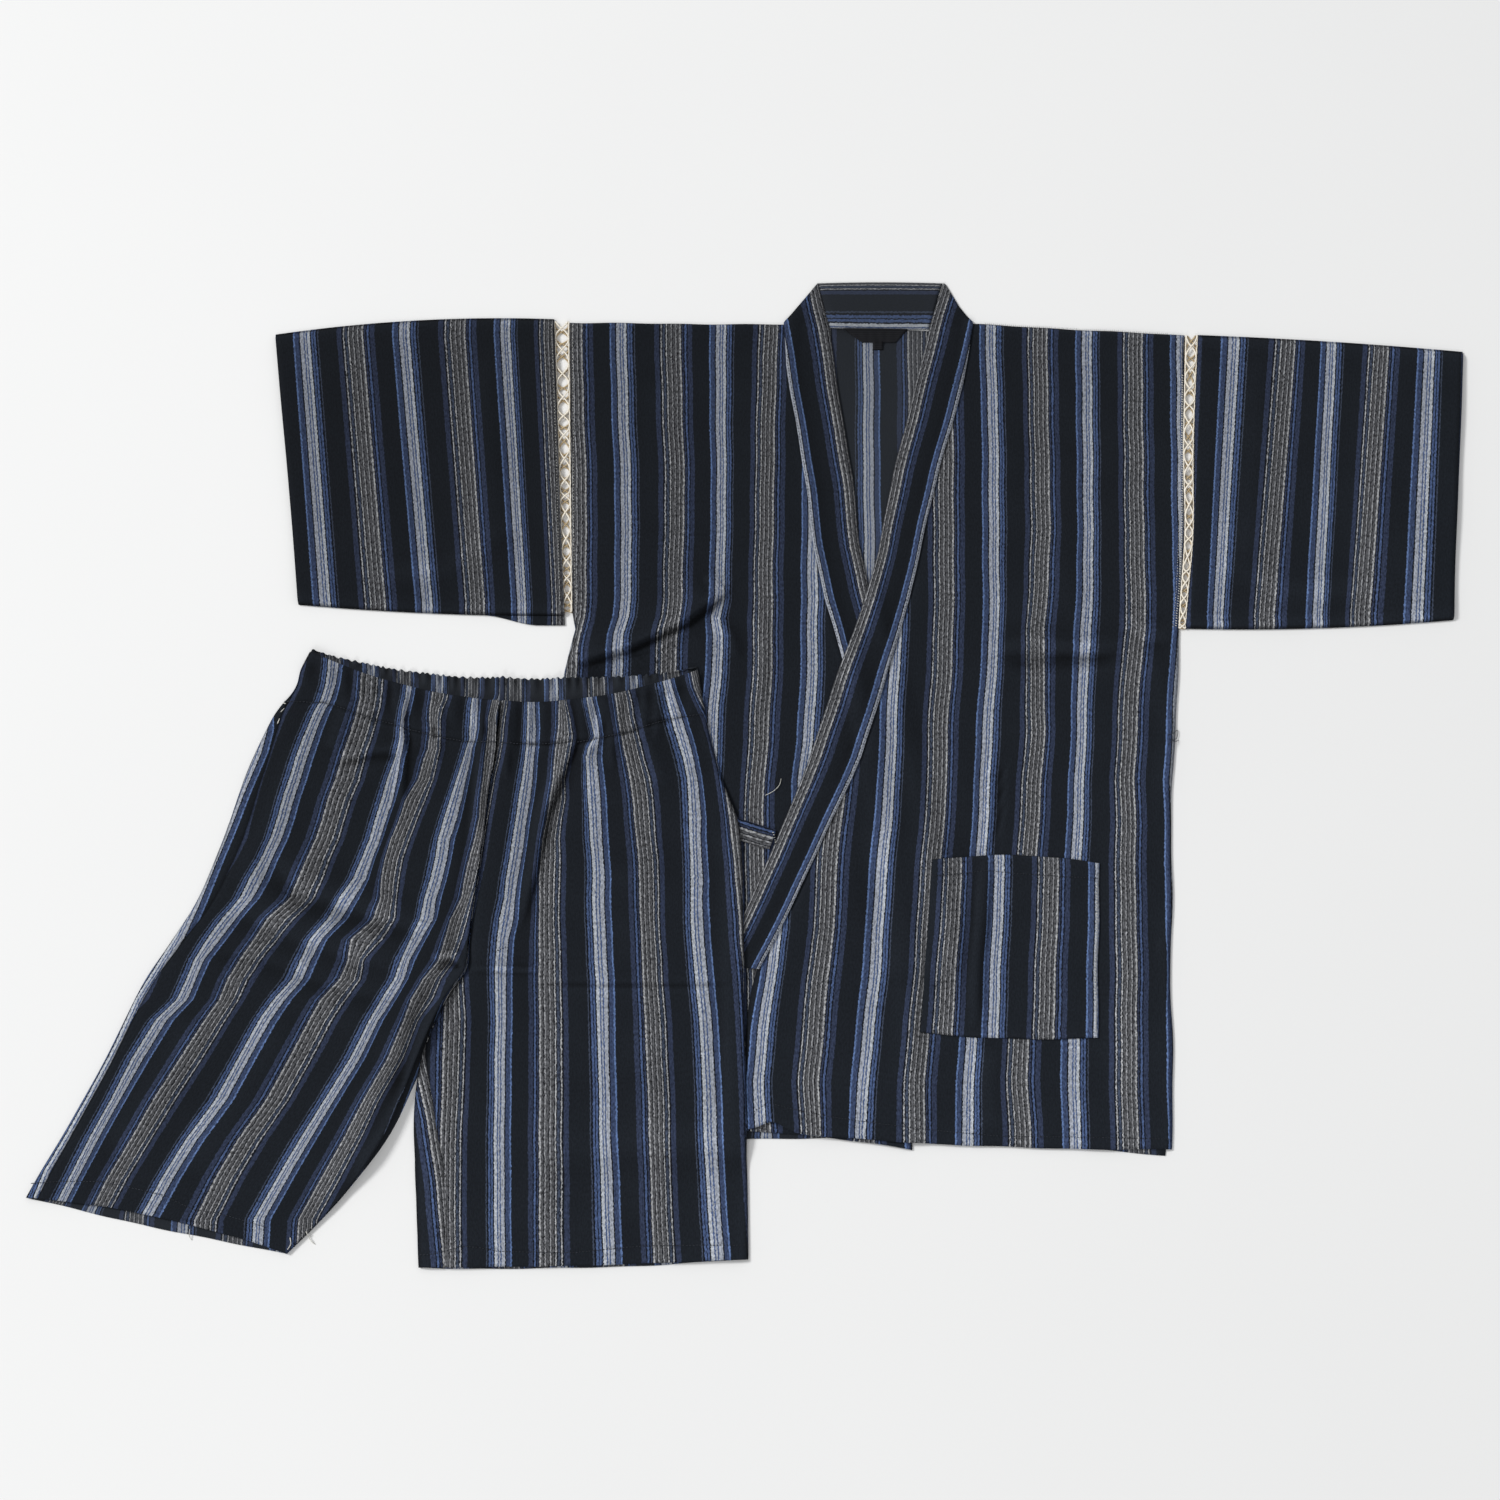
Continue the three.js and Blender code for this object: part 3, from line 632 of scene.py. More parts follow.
# Front that lies under, with its branch of the collar
UNDER = table(
    "left_x left_y seam_x seam_y inner_x inner_y",
    (-208, 457, 16, 455, 61, 451.5), (-206.5, 410, 16.5, 410, 66, 415), (-205, 335, 28, 335, 75, 347),
    (-204, 273, 37, 273, 84, 289), (-203, 213, 44, 213, 91, 215), (-201, 150, 55, 159, 99, 175),
    (-197, 131, 62, 133, 104, 152), (-200, 112, 67, 113, 107, 133), (-206, 92, 73, 92, 111, 114),
    (-210, 50, 82, 45, 119.5, 68), (-211, -6, 91, -3, 129, 20), (-210, -100, 104, -97, 146, -72),
    (-208, -212, 123, -212, 166, -207))
front_under_sections = {
    "left_x": np.append(UNDER["left_x"], [-206, -205]),
    "left_y": np.append(UNDER["left_y"], [-300, -380]),
    "right_x": np.append(UNDER["seam_x"] + SEAM_TUCK, [130, 136]),
    "right_y": np.append(UNDER["seam_y"], [-300, -391]),
    "dip": np.append(np.zeros(len(UNDER["seam_y"])), [0, 12.5]),
}
lay("jacket_front_under", ["front_under"], front_under_sections, table(
    "y grey_0 light_1 grey_1 light_2 grey_2 light_3",
    (450, -204, -155, -102, -51, 0, 44), (287, -197, -148, -96, -50, -5, 44),
    (180, -195, -146, -97, -50.5, -6.5, 43), (159, -195, -146.5, -97, -51.5, -6.5, 43),
    (140, -196, -148, -98.5, -56, -6.5, 42), (121, -200, -153, -103, -52.5, -7, 42),
    (107, -203, -154, -104, -53, -7, 42), (76, -205, -155, -105, -55, -8, 41),
    (50, -206, -156, -106, -57, -9.5, 40), (11, -206, -156, -107, -58.5, -11, 37),
    (-27, -208, -157, -108, -59, -14, 32), (-62, -208, -157, -108, -60, -17, 32),
    (-392, -207, -158, -107, -57, -9, 41)),
    ["jacket_back"], spacing=4.5, first=-0.5, fall=("left", "top", "right"), seed=3, puff=1.4,
    folds=[(9.0, 30, 3.0, -208, 90, -187, 96, -146, 107, -108, 126, -89, 134, -64, 154, -44, 172),
           (-2.6, 4, 17, -200, 86, -150, 94, -110, 104, -78, 122),
           (2.2, 5, 12, -62, 142, -54, 136, -42, 120, -36, 96),
           (2.4, 10, 4, -66, 186, -58, 168, -64, 150), (1.6, 6, 12, -14, 150, -10, 110, -16, 40),
           (1.4, 22, 22, -120, 400, -110, 230), (1.2, 16, 18, -20, 400, -16, 220)])
lay("collar_under_branch", ["collar_under"], {
    "left_x": np.append([46.5, 30, 14], UNDER["seam_x"][1:]),
    "left_y": np.append([498.4, 477.6, 457], UNDER["seam_y"][1:]),
    "right_x": np.append([49, 55, 61], UNDER["inner_x"][1:]),
    "right_y": np.append([500.9, 476, 451.5], UNDER["inner_y"][1:])}, None,
    ["jacket_front_under", "jacket_back"], chart_across=(COLLAR_WIDENING, 58), rise=BAND_RISE - 0.6,
    seed=4, **COLLAR_BRANCH)

# Front that lies over, with its branch of the collar
OVER = table(
    "inner_x inner_y seam_x seam_y right_x right_y",
    (166, 451.5, 210, 456, 430, 443), (150, 391, 199.5, 391, 426.6, 391), (126, 294, 172, 294, 423.8, 294),
    (110, 213, 152.5, 213, 420.1, 213), (95, 159, 140, 159, 413.6, 150), (63, 70, 114, 70, 409, 70),
    (39, -3, 90, -3, 402, -6), (16, -63, 63, -63, 397, -60), (-20, -147, 24, -147, 396, -147),
    (-52, -212, -12, -217, 390, -222))
front_over_sections = {
    "left_x": np.append(OVER["seam_x"] - SEAM_TUCK, [-26, -32]),
    "left_y": np.append(OVER["seam_y"], [-290, -371]),
    "right_x": np.append(OVER["right_x"], [391, 386]),
    "right_y": np.append(OVER["right_y"], [-290, -390.6]),
    "dip": np.append(np.zeros(len(OVER["right_y"])), [0, -5.5]),
    "scoop": np.append(np.zeros(len(OVER["right_y"])), [0, 10]),
}
lay("jacket_front_over", ["front_over"], front_over_sections, table(
    "y light_a grey_b light_c grey_d light_e grey_f light_g grey_h light_i",
    (450, 30, 79, 130, 180, 229, 279, 329, 378, 427), (341, 28, 78, 128, 179, 229, 277, 326, 374, 423),
    (233, 28, 78, 128, 178, 228, 277, 324, 372, 421), (180, 27, 77, 128, 177, 227, 273, 322, 371, 420),
    (128, 27, 77, 128, 175, 226, 267, 318, 370, 417), (76, 22, 73, 124, 173, 222, 267, 314, 362, 411),
    (24, 20, 70, 121, 168, 217, 267, 311, 358, 407), (-27, 17, 67, 118, 167, 213, 261, 307, 353, 402),
    (-77, 12, 59, 114, 163, 210, 257, 304, 353, 402), (-127, 9, 55, 109, 158, 207, 253, 301, 351, 401),
    (-177, 6, 53, 105, 154, 203, 250, 299, 350, 400), (-226, -1, 45, 101, 150, 200, 246, 297, 349, 399),
    (-275, -8, 42, 95, 145, 196, 242, 295, 347, 397), (-324, -12, 37, 90, 140, 192, 239, 294, 346, 396),
    (-372, -11, 39, 85, 139, 189, 241, 293, 345, 395)),
    ["jacket_front_under", "collar_under_branch", "jacket_back"], fall=("left", "top", "right"), seed=5,
    puff=1.5, waves=0.7,
    folds=[(3.0, 10, 5, 226, 104, 262, 112, 300, 106, 352, 112), (-1.6, 6, 8, 236, 92, 300, 94, 356, 98),
           (2.2, 12, 6, 352, 140, 378, 120, 404, 118), (1.6, 10, 16, 380, 110, 398, 20, 392, -60),
           (2.6, 14, 5, 219, 0, 217, -50, 212, -106), (-2.6, 3, 8, 229, -6, 226, -47, 220, -104),
           (1.6, 14, 14, 208, -290, 206, -380),
           (1.6, 18, 22, 300, 320, 290, 130), (1.4, 24, 24, 150, 20, 120, -300),
           (1.6, 16, 20, 345, -20, 338, -380), (1.4, 20, 20, 240, 400, 236, 220),
           (2.0, 8, 8, 386, -180, 394, -260)])
lay("collar_over_branch", ["collar_over"], {
    "left_x": np.append([180.5, 173, 166], OVER["inner_x"][1:]),
    "left_y": np.append([500.9, 476, 451.5], OVER["inner_y"][1:]),
    "right_x": np.append([183, 196.5, 211], OVER["seam_x"][1:]),
    "right_y": np.append([498.4, 475.4, 457], OVER["seam_y"][1:])}, None,
    ["jacket_front_under", "collar_under_branch", "jacket_front_over"],
    chart_across=(58, COLLAR_WIDENING), rise=BAND_RISE - 0.9, seed=6, **COLLAR_BRANCH)

# The collar's neck stretch shows its inner face behind the shoulders.
NECK = table("left_x left_y right_x right_y dip",
             (49.5, 501, 180, 501, 1.2), (52.5, 489, 176, 489, 0), (56, 474, 172, 474, 0),
             (61.5, 451.5, 165, 450, -0.6))
NECK_CHART_TOP = 60.0
NECK_CHART_BOTTOM = 12.0
nx, ny, nu, ns = panel_grid(NECK, 4.0)
nz = STACK_GAP + CLOTH + edge_fall(nx, ny, nu, ns, ("left", "right", "top")) + 0.2
neck_thread = (NECK_CHART_TOP + (NECK_CHART_BOTTOM - NECK_CHART_TOP) * ns / ns.max()) / CHART_LENGTH
neck_band = cloth_mesh("collar_neck_band", nx, ny, nz, neck_thread, nx)
settle(neck_band, crepe_inside)
declare(["collar_back"])
add_to_heap(nx, ny, nz)

# Patch pocket
lay("patch_pocket", ["pocket"], table(
    "left_x left_y right_x right_y dip",
    (159, -108, 324, -111, 6), (157, -126, 323, -129, 4), (154, -165, 322, -170, 0),
    (151, -205, 320, -210, 0), (148, -245, 319, -250, 0), (144.5, -278, 318, -283, -4)),
    table("y grey_1 light_1 grey_2 light_2", (-127, 180, 225, 275, 325), (-275, 168, 216, 266, 319)),
    ["jacket_front_over"], spacing=4, first=-0.5, puff=0.9, waves=0.2, reach=4, seed=8,
    folds=[(3.2, 11, 5, 210, -106, 206, -150, 199, -210, 195, -276),
           (-2.4, 3, 8, 218, -106, 215, -150, 208, -210, 204, -276)])

# Ties, each laid along its own line
TIE_CHART = (58, 76)


def tie_sections(path):
    points = [Vector(p) for p in path]
    rows = []
    for index, point in enumerate(points):
        along = (points[min(index + 1, len(points) - 1)] - points[max(index - 1, 0)]).normalized()
        side = Vector((along.y, -along.x)) * TIE_WIDTH / 2
        rows.append((point.x + side.x, point.y + side.y, point.x - side.x, point.y - side.y))
    return table("left_x left_y right_x right_y", *rows)


lay("tie_front_strip", ["tie_front"], tie_sections(
    [(-185, -4), (-130, -30), (-80, -54), (-35, -76), (1.5, -88)]), None, ["jacket_front_under"],
    spacing=4, chart_across=TIE_CHART, puff=0.6, waves=0.2, reach=3, fall=("left", "right"))
lay("tie_side_strip", ["tie_side"], tie_sections(
    [(-60, -178), (-110, -165), (-160, -142), (-207, -120)]), None, ["jacket_front_under"],
    spacing=5, chart_across=TIE_CHART, puff=0.4, waves=0.1, reach=3, fall=("left", "right"))

# Neck label and size tab, both bare. The tab is a short loop of tape, so its two ends lie doubled.
lx, ly, _, ls = panel_grid(table("left_x left_y right_x right_y", (76, 450.6, 142.5, 449.6),
                                 (85.5, 443, 136.5, 443), (95, 435.5, 130.5, 435.5)), 3.0)
lz = read_heap(heap, lx, ly) + STACK_GAP + 0.7 + 0.5 * ls / ls.max()
neck_label = cloth_mesh("neck_label_tape", lx, ly, lz, lx / STRIPE_REPEAT, ly, TAPE)
settle(neck_label, label_tape)
declare(["neck_label"])
add_to_heap(lx, ly, lz)
tx, ty, _, _ = panel_grid(table("left_x left_y right_x right_y", (106.3, 435.6, 116.7, 435.6),
                                (106.3, 427.5, 116.7, 427.5)), 2.0)
tab_floor = read_heap(heap, tx, ty) + STACK_GAP
tz = np.vstack([tab_floor + 1.5, (tab_floor + 0.5)[::-1]])
tx = np.vstack([tx, tx[::-1]])
ty = np.vstack([ty, ty[::-1]])
ty[len(ty) // 2 - 1] -= 0.1    # so that the loop's turn has some width
size_tab = cloth_mesh("size_tab_tape", tx, ty, tz, tx / STRIPE_REPEAT, ty, TAPE)
settle(size_tab, label_tape)
declare(["size_tab"])


SLEEVE_SPACING = 6.0
SLEEVE_ROUNDING = 9.0      # a sleeve's upper layer comes down over this distance at its fold and seam
SLEEVE_TURN_STEPS = 6      # rows of points round the fold


def lay_sleeve(name, node, sections, chart, folds, seed, peek=None):
    """A flat sleeve: under layer from the seam up to the fold, then the upper layer back down. With
    `peek` (x from, x to, drop), the under layer shows below the upper one along the seam."""
    x, y, u, s = panel_grid(sections, SLEEVE_SPACING)
    rim = edge_fall(x, y, u, s, ("top", "bottom"), SLEEVE_ROUNDING)
    upper = CLOTH + 2 * SLEEVE_FOLD * rim + 0.9 * slow_waves(x, y, 130, seed) * rim + ridges(folds, x, y) * rim
    upper = np.maximum(upper, 2 * CLOTH + STACK_GAP)
    lower = np.full_like(x, CLOTH + 0.05)
    lower_y = y
    if peek:
        start, end, drop = peek
        lower_y = y - drop * ease((x - start) / (end - start)) * ease(s - s.max() + 1)
    turn = np.arange(1, SLEEVE_TURN_STEPS)[:, None] * math.pi / SLEEVE_TURN_STEPS
    gx = np.vstack([x[::-1], np.repeat(x[:1], SLEEVE_TURN_STEPS - 1, axis=0), x])
    gy = np.vstack([lower_y[::-1], y[0] + np.sin(turn) * SLEEVE_FOLD * 0.6, y])
    gz = np.vstack([lower[::-1], lower[0] + (upper[0] - lower[0]) * (1 - np.cos(turn)) / 2, upper])
    thread = threads(chart, gx, gy)
    steps = np.sqrt(np.diff(gx, axis=0) ** 2 + np.diff(gy, axis=0) ** 2 + np.diff(gz, axis=0) ** 2)
    length = np.vstack([np.zeros((1, gx.shape[1])), np.cumsum(steps, axis=0)])
    obj = cloth_mesh(name, gx, gy, gz, thread, length)
    settle(obj, crepe)
    declare([node])
    add_to_heap(x, y, upper)


# A sleeve's sections go from the fold at the top to the seam at the bottom.
lay_sleeve("sleeve_left_tube", "sleeve_left", table(
    "left_x left_y right_x right_y dip",
    (-513, 443, -224.2, 460, 7), (-504, 370, -220.5, 385, 4), (-495, 300, -216.5, 298, 0),
    (-486, 225, -212.3, 215, -2), (-478, 154, -208.2, 142, -3)),
    table("y light_1 grey_1 light_2 grey_2 light_3 grey_3",
          (442, -482, -431, -379, -325, -274, -229), (154, -450, -398, -347, -297, -251, -212)),
    [(1.8, 16, 18, -300, 430, -288, 190), (1.4, 20, 20, -420, 420, -396, 180),
     (1.6, 12, 14, -250, 250, -330, 190, -420, 182)], 11, peek=(-290, -235, 9.5))
lay_sleeve("sleeve_right_tube", "sleeve_right", table(
    "left_x left_y right_x right_y dip",
    (443.8, 442.5, 717, 424, 2), (437.5, 365, 710, 350, 1), (433.8, 285, 703, 280, 0),
    (428.6, 205, 696, 210, -2), (418.4, 129, 690, 138, -4)),
    table("y light_1 grey_1 light_2 grey_2 light_3",
          (442, 481, 537, 582, 633, 684), (141, 452, 499, 553, 595, 653)),
    [(1.8, 18, 18, 500, 420, 478, 180), (1.4, 22, 22, 620, 400, 600, 170),
     (1.4, 14, 14, 450, 200, 520, 168, 640, 172)], 12)

# Shorts
LEG_LEFT = table(
    "left_x left_y right_x right_y dip",
    (-464, 104, -272, 53, -9), (-473, 86, -273, 33, -9), (-477, 70, -274, 15, -9),
    (-483, 59, -274.5, 5, -8), (-491, 49, -275.5, -3, -7), (-501, 32, -277, -15, -5),
    (-520, -12, -281, -42, 0), (-535, -60, -285, -80, 0), (-549, -104, -289, -118, 0),
    (-567, -150, -294, -155, 0), (-590, -190, -297, -188, 0), (-614, -228, -300, -217, 0),
    (-635, -275, -318, -244, 0), (-659, -327, -340, -292, 0), (-684, -375, -370, -370, 0),
    (-702, -408, -408, -430, 2), (-717, -436, -464, -489, 8))
LEG_RIGHT = table(
    "left_x left_y right_x right_y dip",
    (-272, 53, -73, 84, -11), (-274, 12, -66, 40, -11), (-277, -15, -60, 12, -6),
    (-281, -42, -48, -30, 0), (-285, -80, -32, -72, 0), (-289, -118, -29, -112, 0),
    (-294, -155, -28, -150, 0), (-297, -188, -27, -188, 0), (-299, -217, -27, -217, 0),
    (-317, -245, -27, -250, 0), (-338, -292, -26, -295, 0), (-346, -345, -25, -345, 0),
    (-344, -400, -24, -400, 0), (-341, -450, -23, -447, 0), (-338, -502, -23, -494, -2))
LEG_LEFT_THREADS = table(
    "y stop_0 light_1 end_1 grey_1 stop_1 light_2 end_2 grey_2 stop_2 light_3 end_3 grey_3 stop_3",
    (92, -472, -445, -434, -411, -388, -364, -360, -337, -321, -298, -292, -277, -268),
    (71, -477, -447, -437, -412, -389, -365, -360, -339, -322, -299, -293, -277, -268),
    (55, -483, -451, -441, -412, -390, -366, -362, -340, -324, -299, -293, -278, -269),
    (45, -488, -456, -446, -414, -391, -368, -364, -341, -328, -300, -293, -280, -270),
    (35, -492.5, -460, -450, -416, -394, -369, -367, -341, -330, -300, -293, -282, -272),
    (24, -496, -464, -454, -419, -396, -370, -367, -340, -330, -301, -293, -282, -271),
    (14, -499.5, -468, -457, -422, -399, -370, -366, -341, -330, -301, -295, -283, -271),
    (4, -502.5, -471, -460, -425, -402, -372, -367, -342, -330, -304, -298, -284, -271),
    (-6, -505, -474, -463, -428, -405, -375, -369, -346, -332, -307, -299, -285, -272),
    (-27, -511, -479, -468, -433, -409, -382, -371, -351, -336, -313, -303, -286, -275),
    (-47, -515.5, -485, -474, -440, -417, -387, -375, -363, -343, -319, -307, -288, -278),
    (-67, -520.5, -490, -479, -445, -423, -393, -382, -369, -351, -325, -312, -289, -280),
    (-87, -524, -496, -485, -451, -428, -398, -387, -377, -358, -330, -318, -293, -281),
    (-107, -533, -504, -493, -459, -436, -405, -394, -382, -364, -332, -320, -298, -283),
    (-127, -546, -515, -501, -466, -442, -413, -400, -385, -367, -336, -324, -302, -287),
    (-147, -558, -524, -511, -475, -450, -426, -411, -385, -369, -342, -330, -305, -294),
    (-167, -575, -541, -527, -495, -469, -436, -423, -391, -369, -345, -332, -315, -298),
    (-187, -588, -554, -541, -507, -484, -452, -440, -412, -381, -354, -343, -320, -303),
    (-207, -599, -565, -556, -521, -500, -461, -451, -414, -399, -362, -354, -325, -310),
    (-226, -606, -572, -563, -532, -512, -469, -459, -422, -402, -369, -359, -341, -323),
    (-246, -614, -580, -570, -539, -520, -486, -475, -440, -416, -381, -370, -352, -330),
    (-266, -634, -600, -589, -552, -532, -499, -488, -450, -428, -392, -383, -358, -344),
    (-304, -656, -622, -611, -575, -554, -519, -508, -469, -447, -410, -401, -373, -358),
    (-343, -673, -639, -630, -598, -577, -538, -527, -488, -467, -432, -423, -394, -379),
    (-381, -693, -659, -650, -618, -599, -565, -554, -514, -492, -455, -445, -413, -396),
    (-419, -710, -676, -668, -639, -620, -587, -576, -535, -513, -476, -466, -433, -415),
    (-457, -728, -694, -686, -657, -639, -607, -596, -553, -532, -497, -487, -454, -436))
LEG_RIGHT_THREADS = table(
    "y grey_3 stop_3 light_4 end_4 grey_4 stop_4 light_5 end_5 grey_5 stop_5 light_6 end_6 grey_6 stop_6",
    (92, -272, -262, -245, -237, -211, -204, -188, -184, -160, -146, -113, -105, -82, -74),
    (66, -273, -263, -244, -236, -211, -205, -186, -181, -157, -143, -107, -99, -77, -66),
    (50, -274, -264, -244, -237, -212, -205, -184, -178, -155, -139, -104, -94, -70, -56),
    (35, -276, -266, -244, -236, -212, -201, -181, -174, -153, -137, -100, -89, -61.5, -43.5),
    (24, -277, -267, -244, -235, -212, -199, -178, -172, -151, -134, -97, -86, -58, -38),
    (16, -278, -267, -244, -235, -213, -197, -176, -171, -149, -132, -94, -83, -55, -35),
    (6, -279, -268, -244, -235, -214, -198, -181, -172, -147, -129, -91, -80, -53, -33),
    (-6, -281, -270, -245, -236, -215, -200, -184, -173, -144, -126, -87, -77, -50, -30),
    (-27, -286, -275, -248, -237, -216, -205, -183, -171, -140, -120, -83, -73, -47, -27),
    (-47, -289, -278, -251, -239, -219, -204, -182, -169, -137, -117, -82, -71, -44, -24),
    (-67, -292, -281, -253, -242, -222, -207, -180, -168, -135, -115, -81, -69, -41, -21),
    (-87, -297, -284, -256, -244, -226, -209, -179, -167, -133, -114, -80.5, -69.5, -39, -19),
    (-107, -301, -287, -259, -247, -228, -208, -177, -166, -131, -112, -80, -69, -37, -17),
    (-127, -305, -291, -262, -250, -229, -208, -176, -164, -130, -111, -79.5, -67.5, -35.5, -15.5),
    (-147, -310, -295, -263, -252, -228, -208, -176, -164, -129, -110, -79, -68, -33, -13),
    (-167, -316, -299, -267, -253, -228, -208, -175, -163, -128, -110, -79, -67, -31, -11),
    (-187, -322, -303, -269, -258, -228, -207, -174, -162, -127, -109, -78, -66, -30.5, -10.5),
    (-207, -322, -303, -270, -259, -227, -206, -173, -161, -126, -107, -76, -64, -28, -8),
    (-226, -318, -301, -270, -259, -227, -205, -171, -159, -125, -106, -74, -62, -26, -6),
    (-266, -319, -298, -269, -259, -226, -204, -170, -159, -123, -103, -70.5, -58.5, -24.5, -4.5),
    (-304, -319, -298, -269, -259, -225, -203, -168, -158, -121, -101, -68, -56, -22.5, -2.5),
    (-362, -319, -299, -268, -258, -224, -202, -166, -156, -118, -98, -66, -53, -20, 0),
    (-419, -319, -299, -267, -257, -223, -201, -164, -153, -116, -97, -63, -51, -17, 3),
    (-495, -317, -297, -265, -255, -222, -200, -161, -150, -113, -93, -58, -46, -11, 9))


def with_back_waist(sections, waist, hem_dip, inner_step=0):
    """The back's sections: one more above the front's waist, the hem's own dip, and how far the inner
    edge lies from the front's."""
    grown = {name: np.insert(sections[name], 0, waist[name]) for name in sections}
    grown["dip"][-1] = hem_dip
    grown["right_x"] = grown["right_x"] + inner_step
    return grown


def back_gathers(count, rise):
    """Fine gathers of the elastic casing, deepest at the waist."""
    def height(x, y, u, s):
        wave = np.sin(u * math.pi * 2 * count + 1.3 * np.sin(u * 17))
        return rise * (0.5 + 0.5 * wave) * (1 - ease(s))
    return height


def casing_puff(x, y, u, s):
    """The front casing between the waist edge and its stitch line, with slight gathers."""
    held = (1 - ease((s - 0.9) / 0.9)) * ease(s * 3 + 0.3)
    return held * (1.0 + 0.7 * np.sin(x / 2.6 + 2.2 * np.sin(x / 21)))


SHORTS_BACK = dict(spacing=5, reach=10, fine=3, frill=0.9, extra=back_gathers(19, 3.4), fullness=1.2,
                   **WRONG_SIDE_UP)
SHORTS_FRONT = dict(spacing=3.0, mirrored=True, waves=0.9, extra=casing_puff, fullness=1.15, waver=0.4)

lay("shorts_back_left_leg", ["shorts_back_left"],
    with_back_waist(LEG_LEFT, {"left_x": -462, "left_y": 107, "right_x": -272, "right_y": 78, "dip": -8}, -2,
                    np.array([0] * 14 + [7, 4, 0, 0])),
    table("y grey_a light_a grey_b light_b grey_c light_c", (90, -440, -402, -369, -333, -300, -270),
          (60, -440, -402, -369, -333, -300, -270), (-450, -691, -655, -611, -565, -515, -470)),
    [], first=-0.5, **SHORTS_BACK)
lay("shorts_back_right_leg", ["shorts_back_right"],
    with_back_waist(LEG_RIGHT, {"left_x": -272, "left_y": 78, "right_x": -75, "right_y": 86, "dip": -5}, -4),
    table("y grey_c light_d grey_d light_e grey_e", (90, -258, -219, -174, -139, -100),
          (-495, -250, -200, -150, -100, -50)),
    ["jacket_front_under", "collar_over_branch"], first=0.5, **SHORTS_BACK)

# Stitch line of the front casing, from the left side seam to the inseam and on to the right side seam
CASING_LEFT = (-489, 53, -448, 52, -397, 35, -368, 26, -335, 17, -301, 11, -272, 10)
CASING_RIGHT = (-236, 9, -196, 9, -171, 14, -141, 21, -111, 31, -91, 35, -68, 39)

# The fronts have the casing's groove, the pleats and dimples that the elastic draws in below it, and the
# folds of the legs as they lie.
lay("shorts_front_right_leg", ["shorts_front_right"], LEG_RIGHT, LEG_RIGHT_THREADS,
    ["shorts_back_right_leg"], step=EDGES[2:] + (0.953, 1.056), puff=2.2, seed=21,
    fall=("left", "right"), **SHORTS_FRONT,
    strip={"width": [0.5] * 10 + [1, 18, 27, 28, 25], "columns": 5, "first": 0.5, "chart": table(
        "y grey_s light_s", (-300, -341, -290), (-363, -324, -272), (-420, -314, -262), (-500, -305, -253))},
    folds=[(-1.5, 2.4, 2.4, -274, 10, *CASING_RIGHT),
           (6.0, 2.4, 13, -204, 54, -196, 9, -206, -16, -215, -37, -225, -62, -234, -117, -241, -152,
            -248, -176),
           (-2.0, 11, 5, -200, -14, -217, -60, -227, -110), (2.6, 3, 9, -265, 52, -263, 8, -264, -30),
           (2.2, 3, 6, -171, 44, -171, 14, -182, 2, -188, -14), (-1.8, 4, 4, -168, 30, -168, 4),
           (2.4, 3, 8, -164, 58, -159, 9, -158, -20), (2.2, 9, 11, -128, 58, -124, 10, -108, -40),
           (2.0, 9, 9, -100, 70, -92, 30, -74, -20), (-1.4, 3, 3, -71, 44, -68, 36, -58, 4),
           (2.0, 8, 12, -60, -40, -42, -120, -40, -420), (1.8, 16, 20, -150, -110, -140, -220),
           (2.2, 3, 2.4, -296, -216, -266, -217, -242, -218, -224, -216),
           (-1.2, 3, 3, -237, -231, -129, -233, -26, -232), (1.6, 20, 22, -236, -250, -232, -480),
           (1.6, 22, 24, -130, -260, -120, -480)])
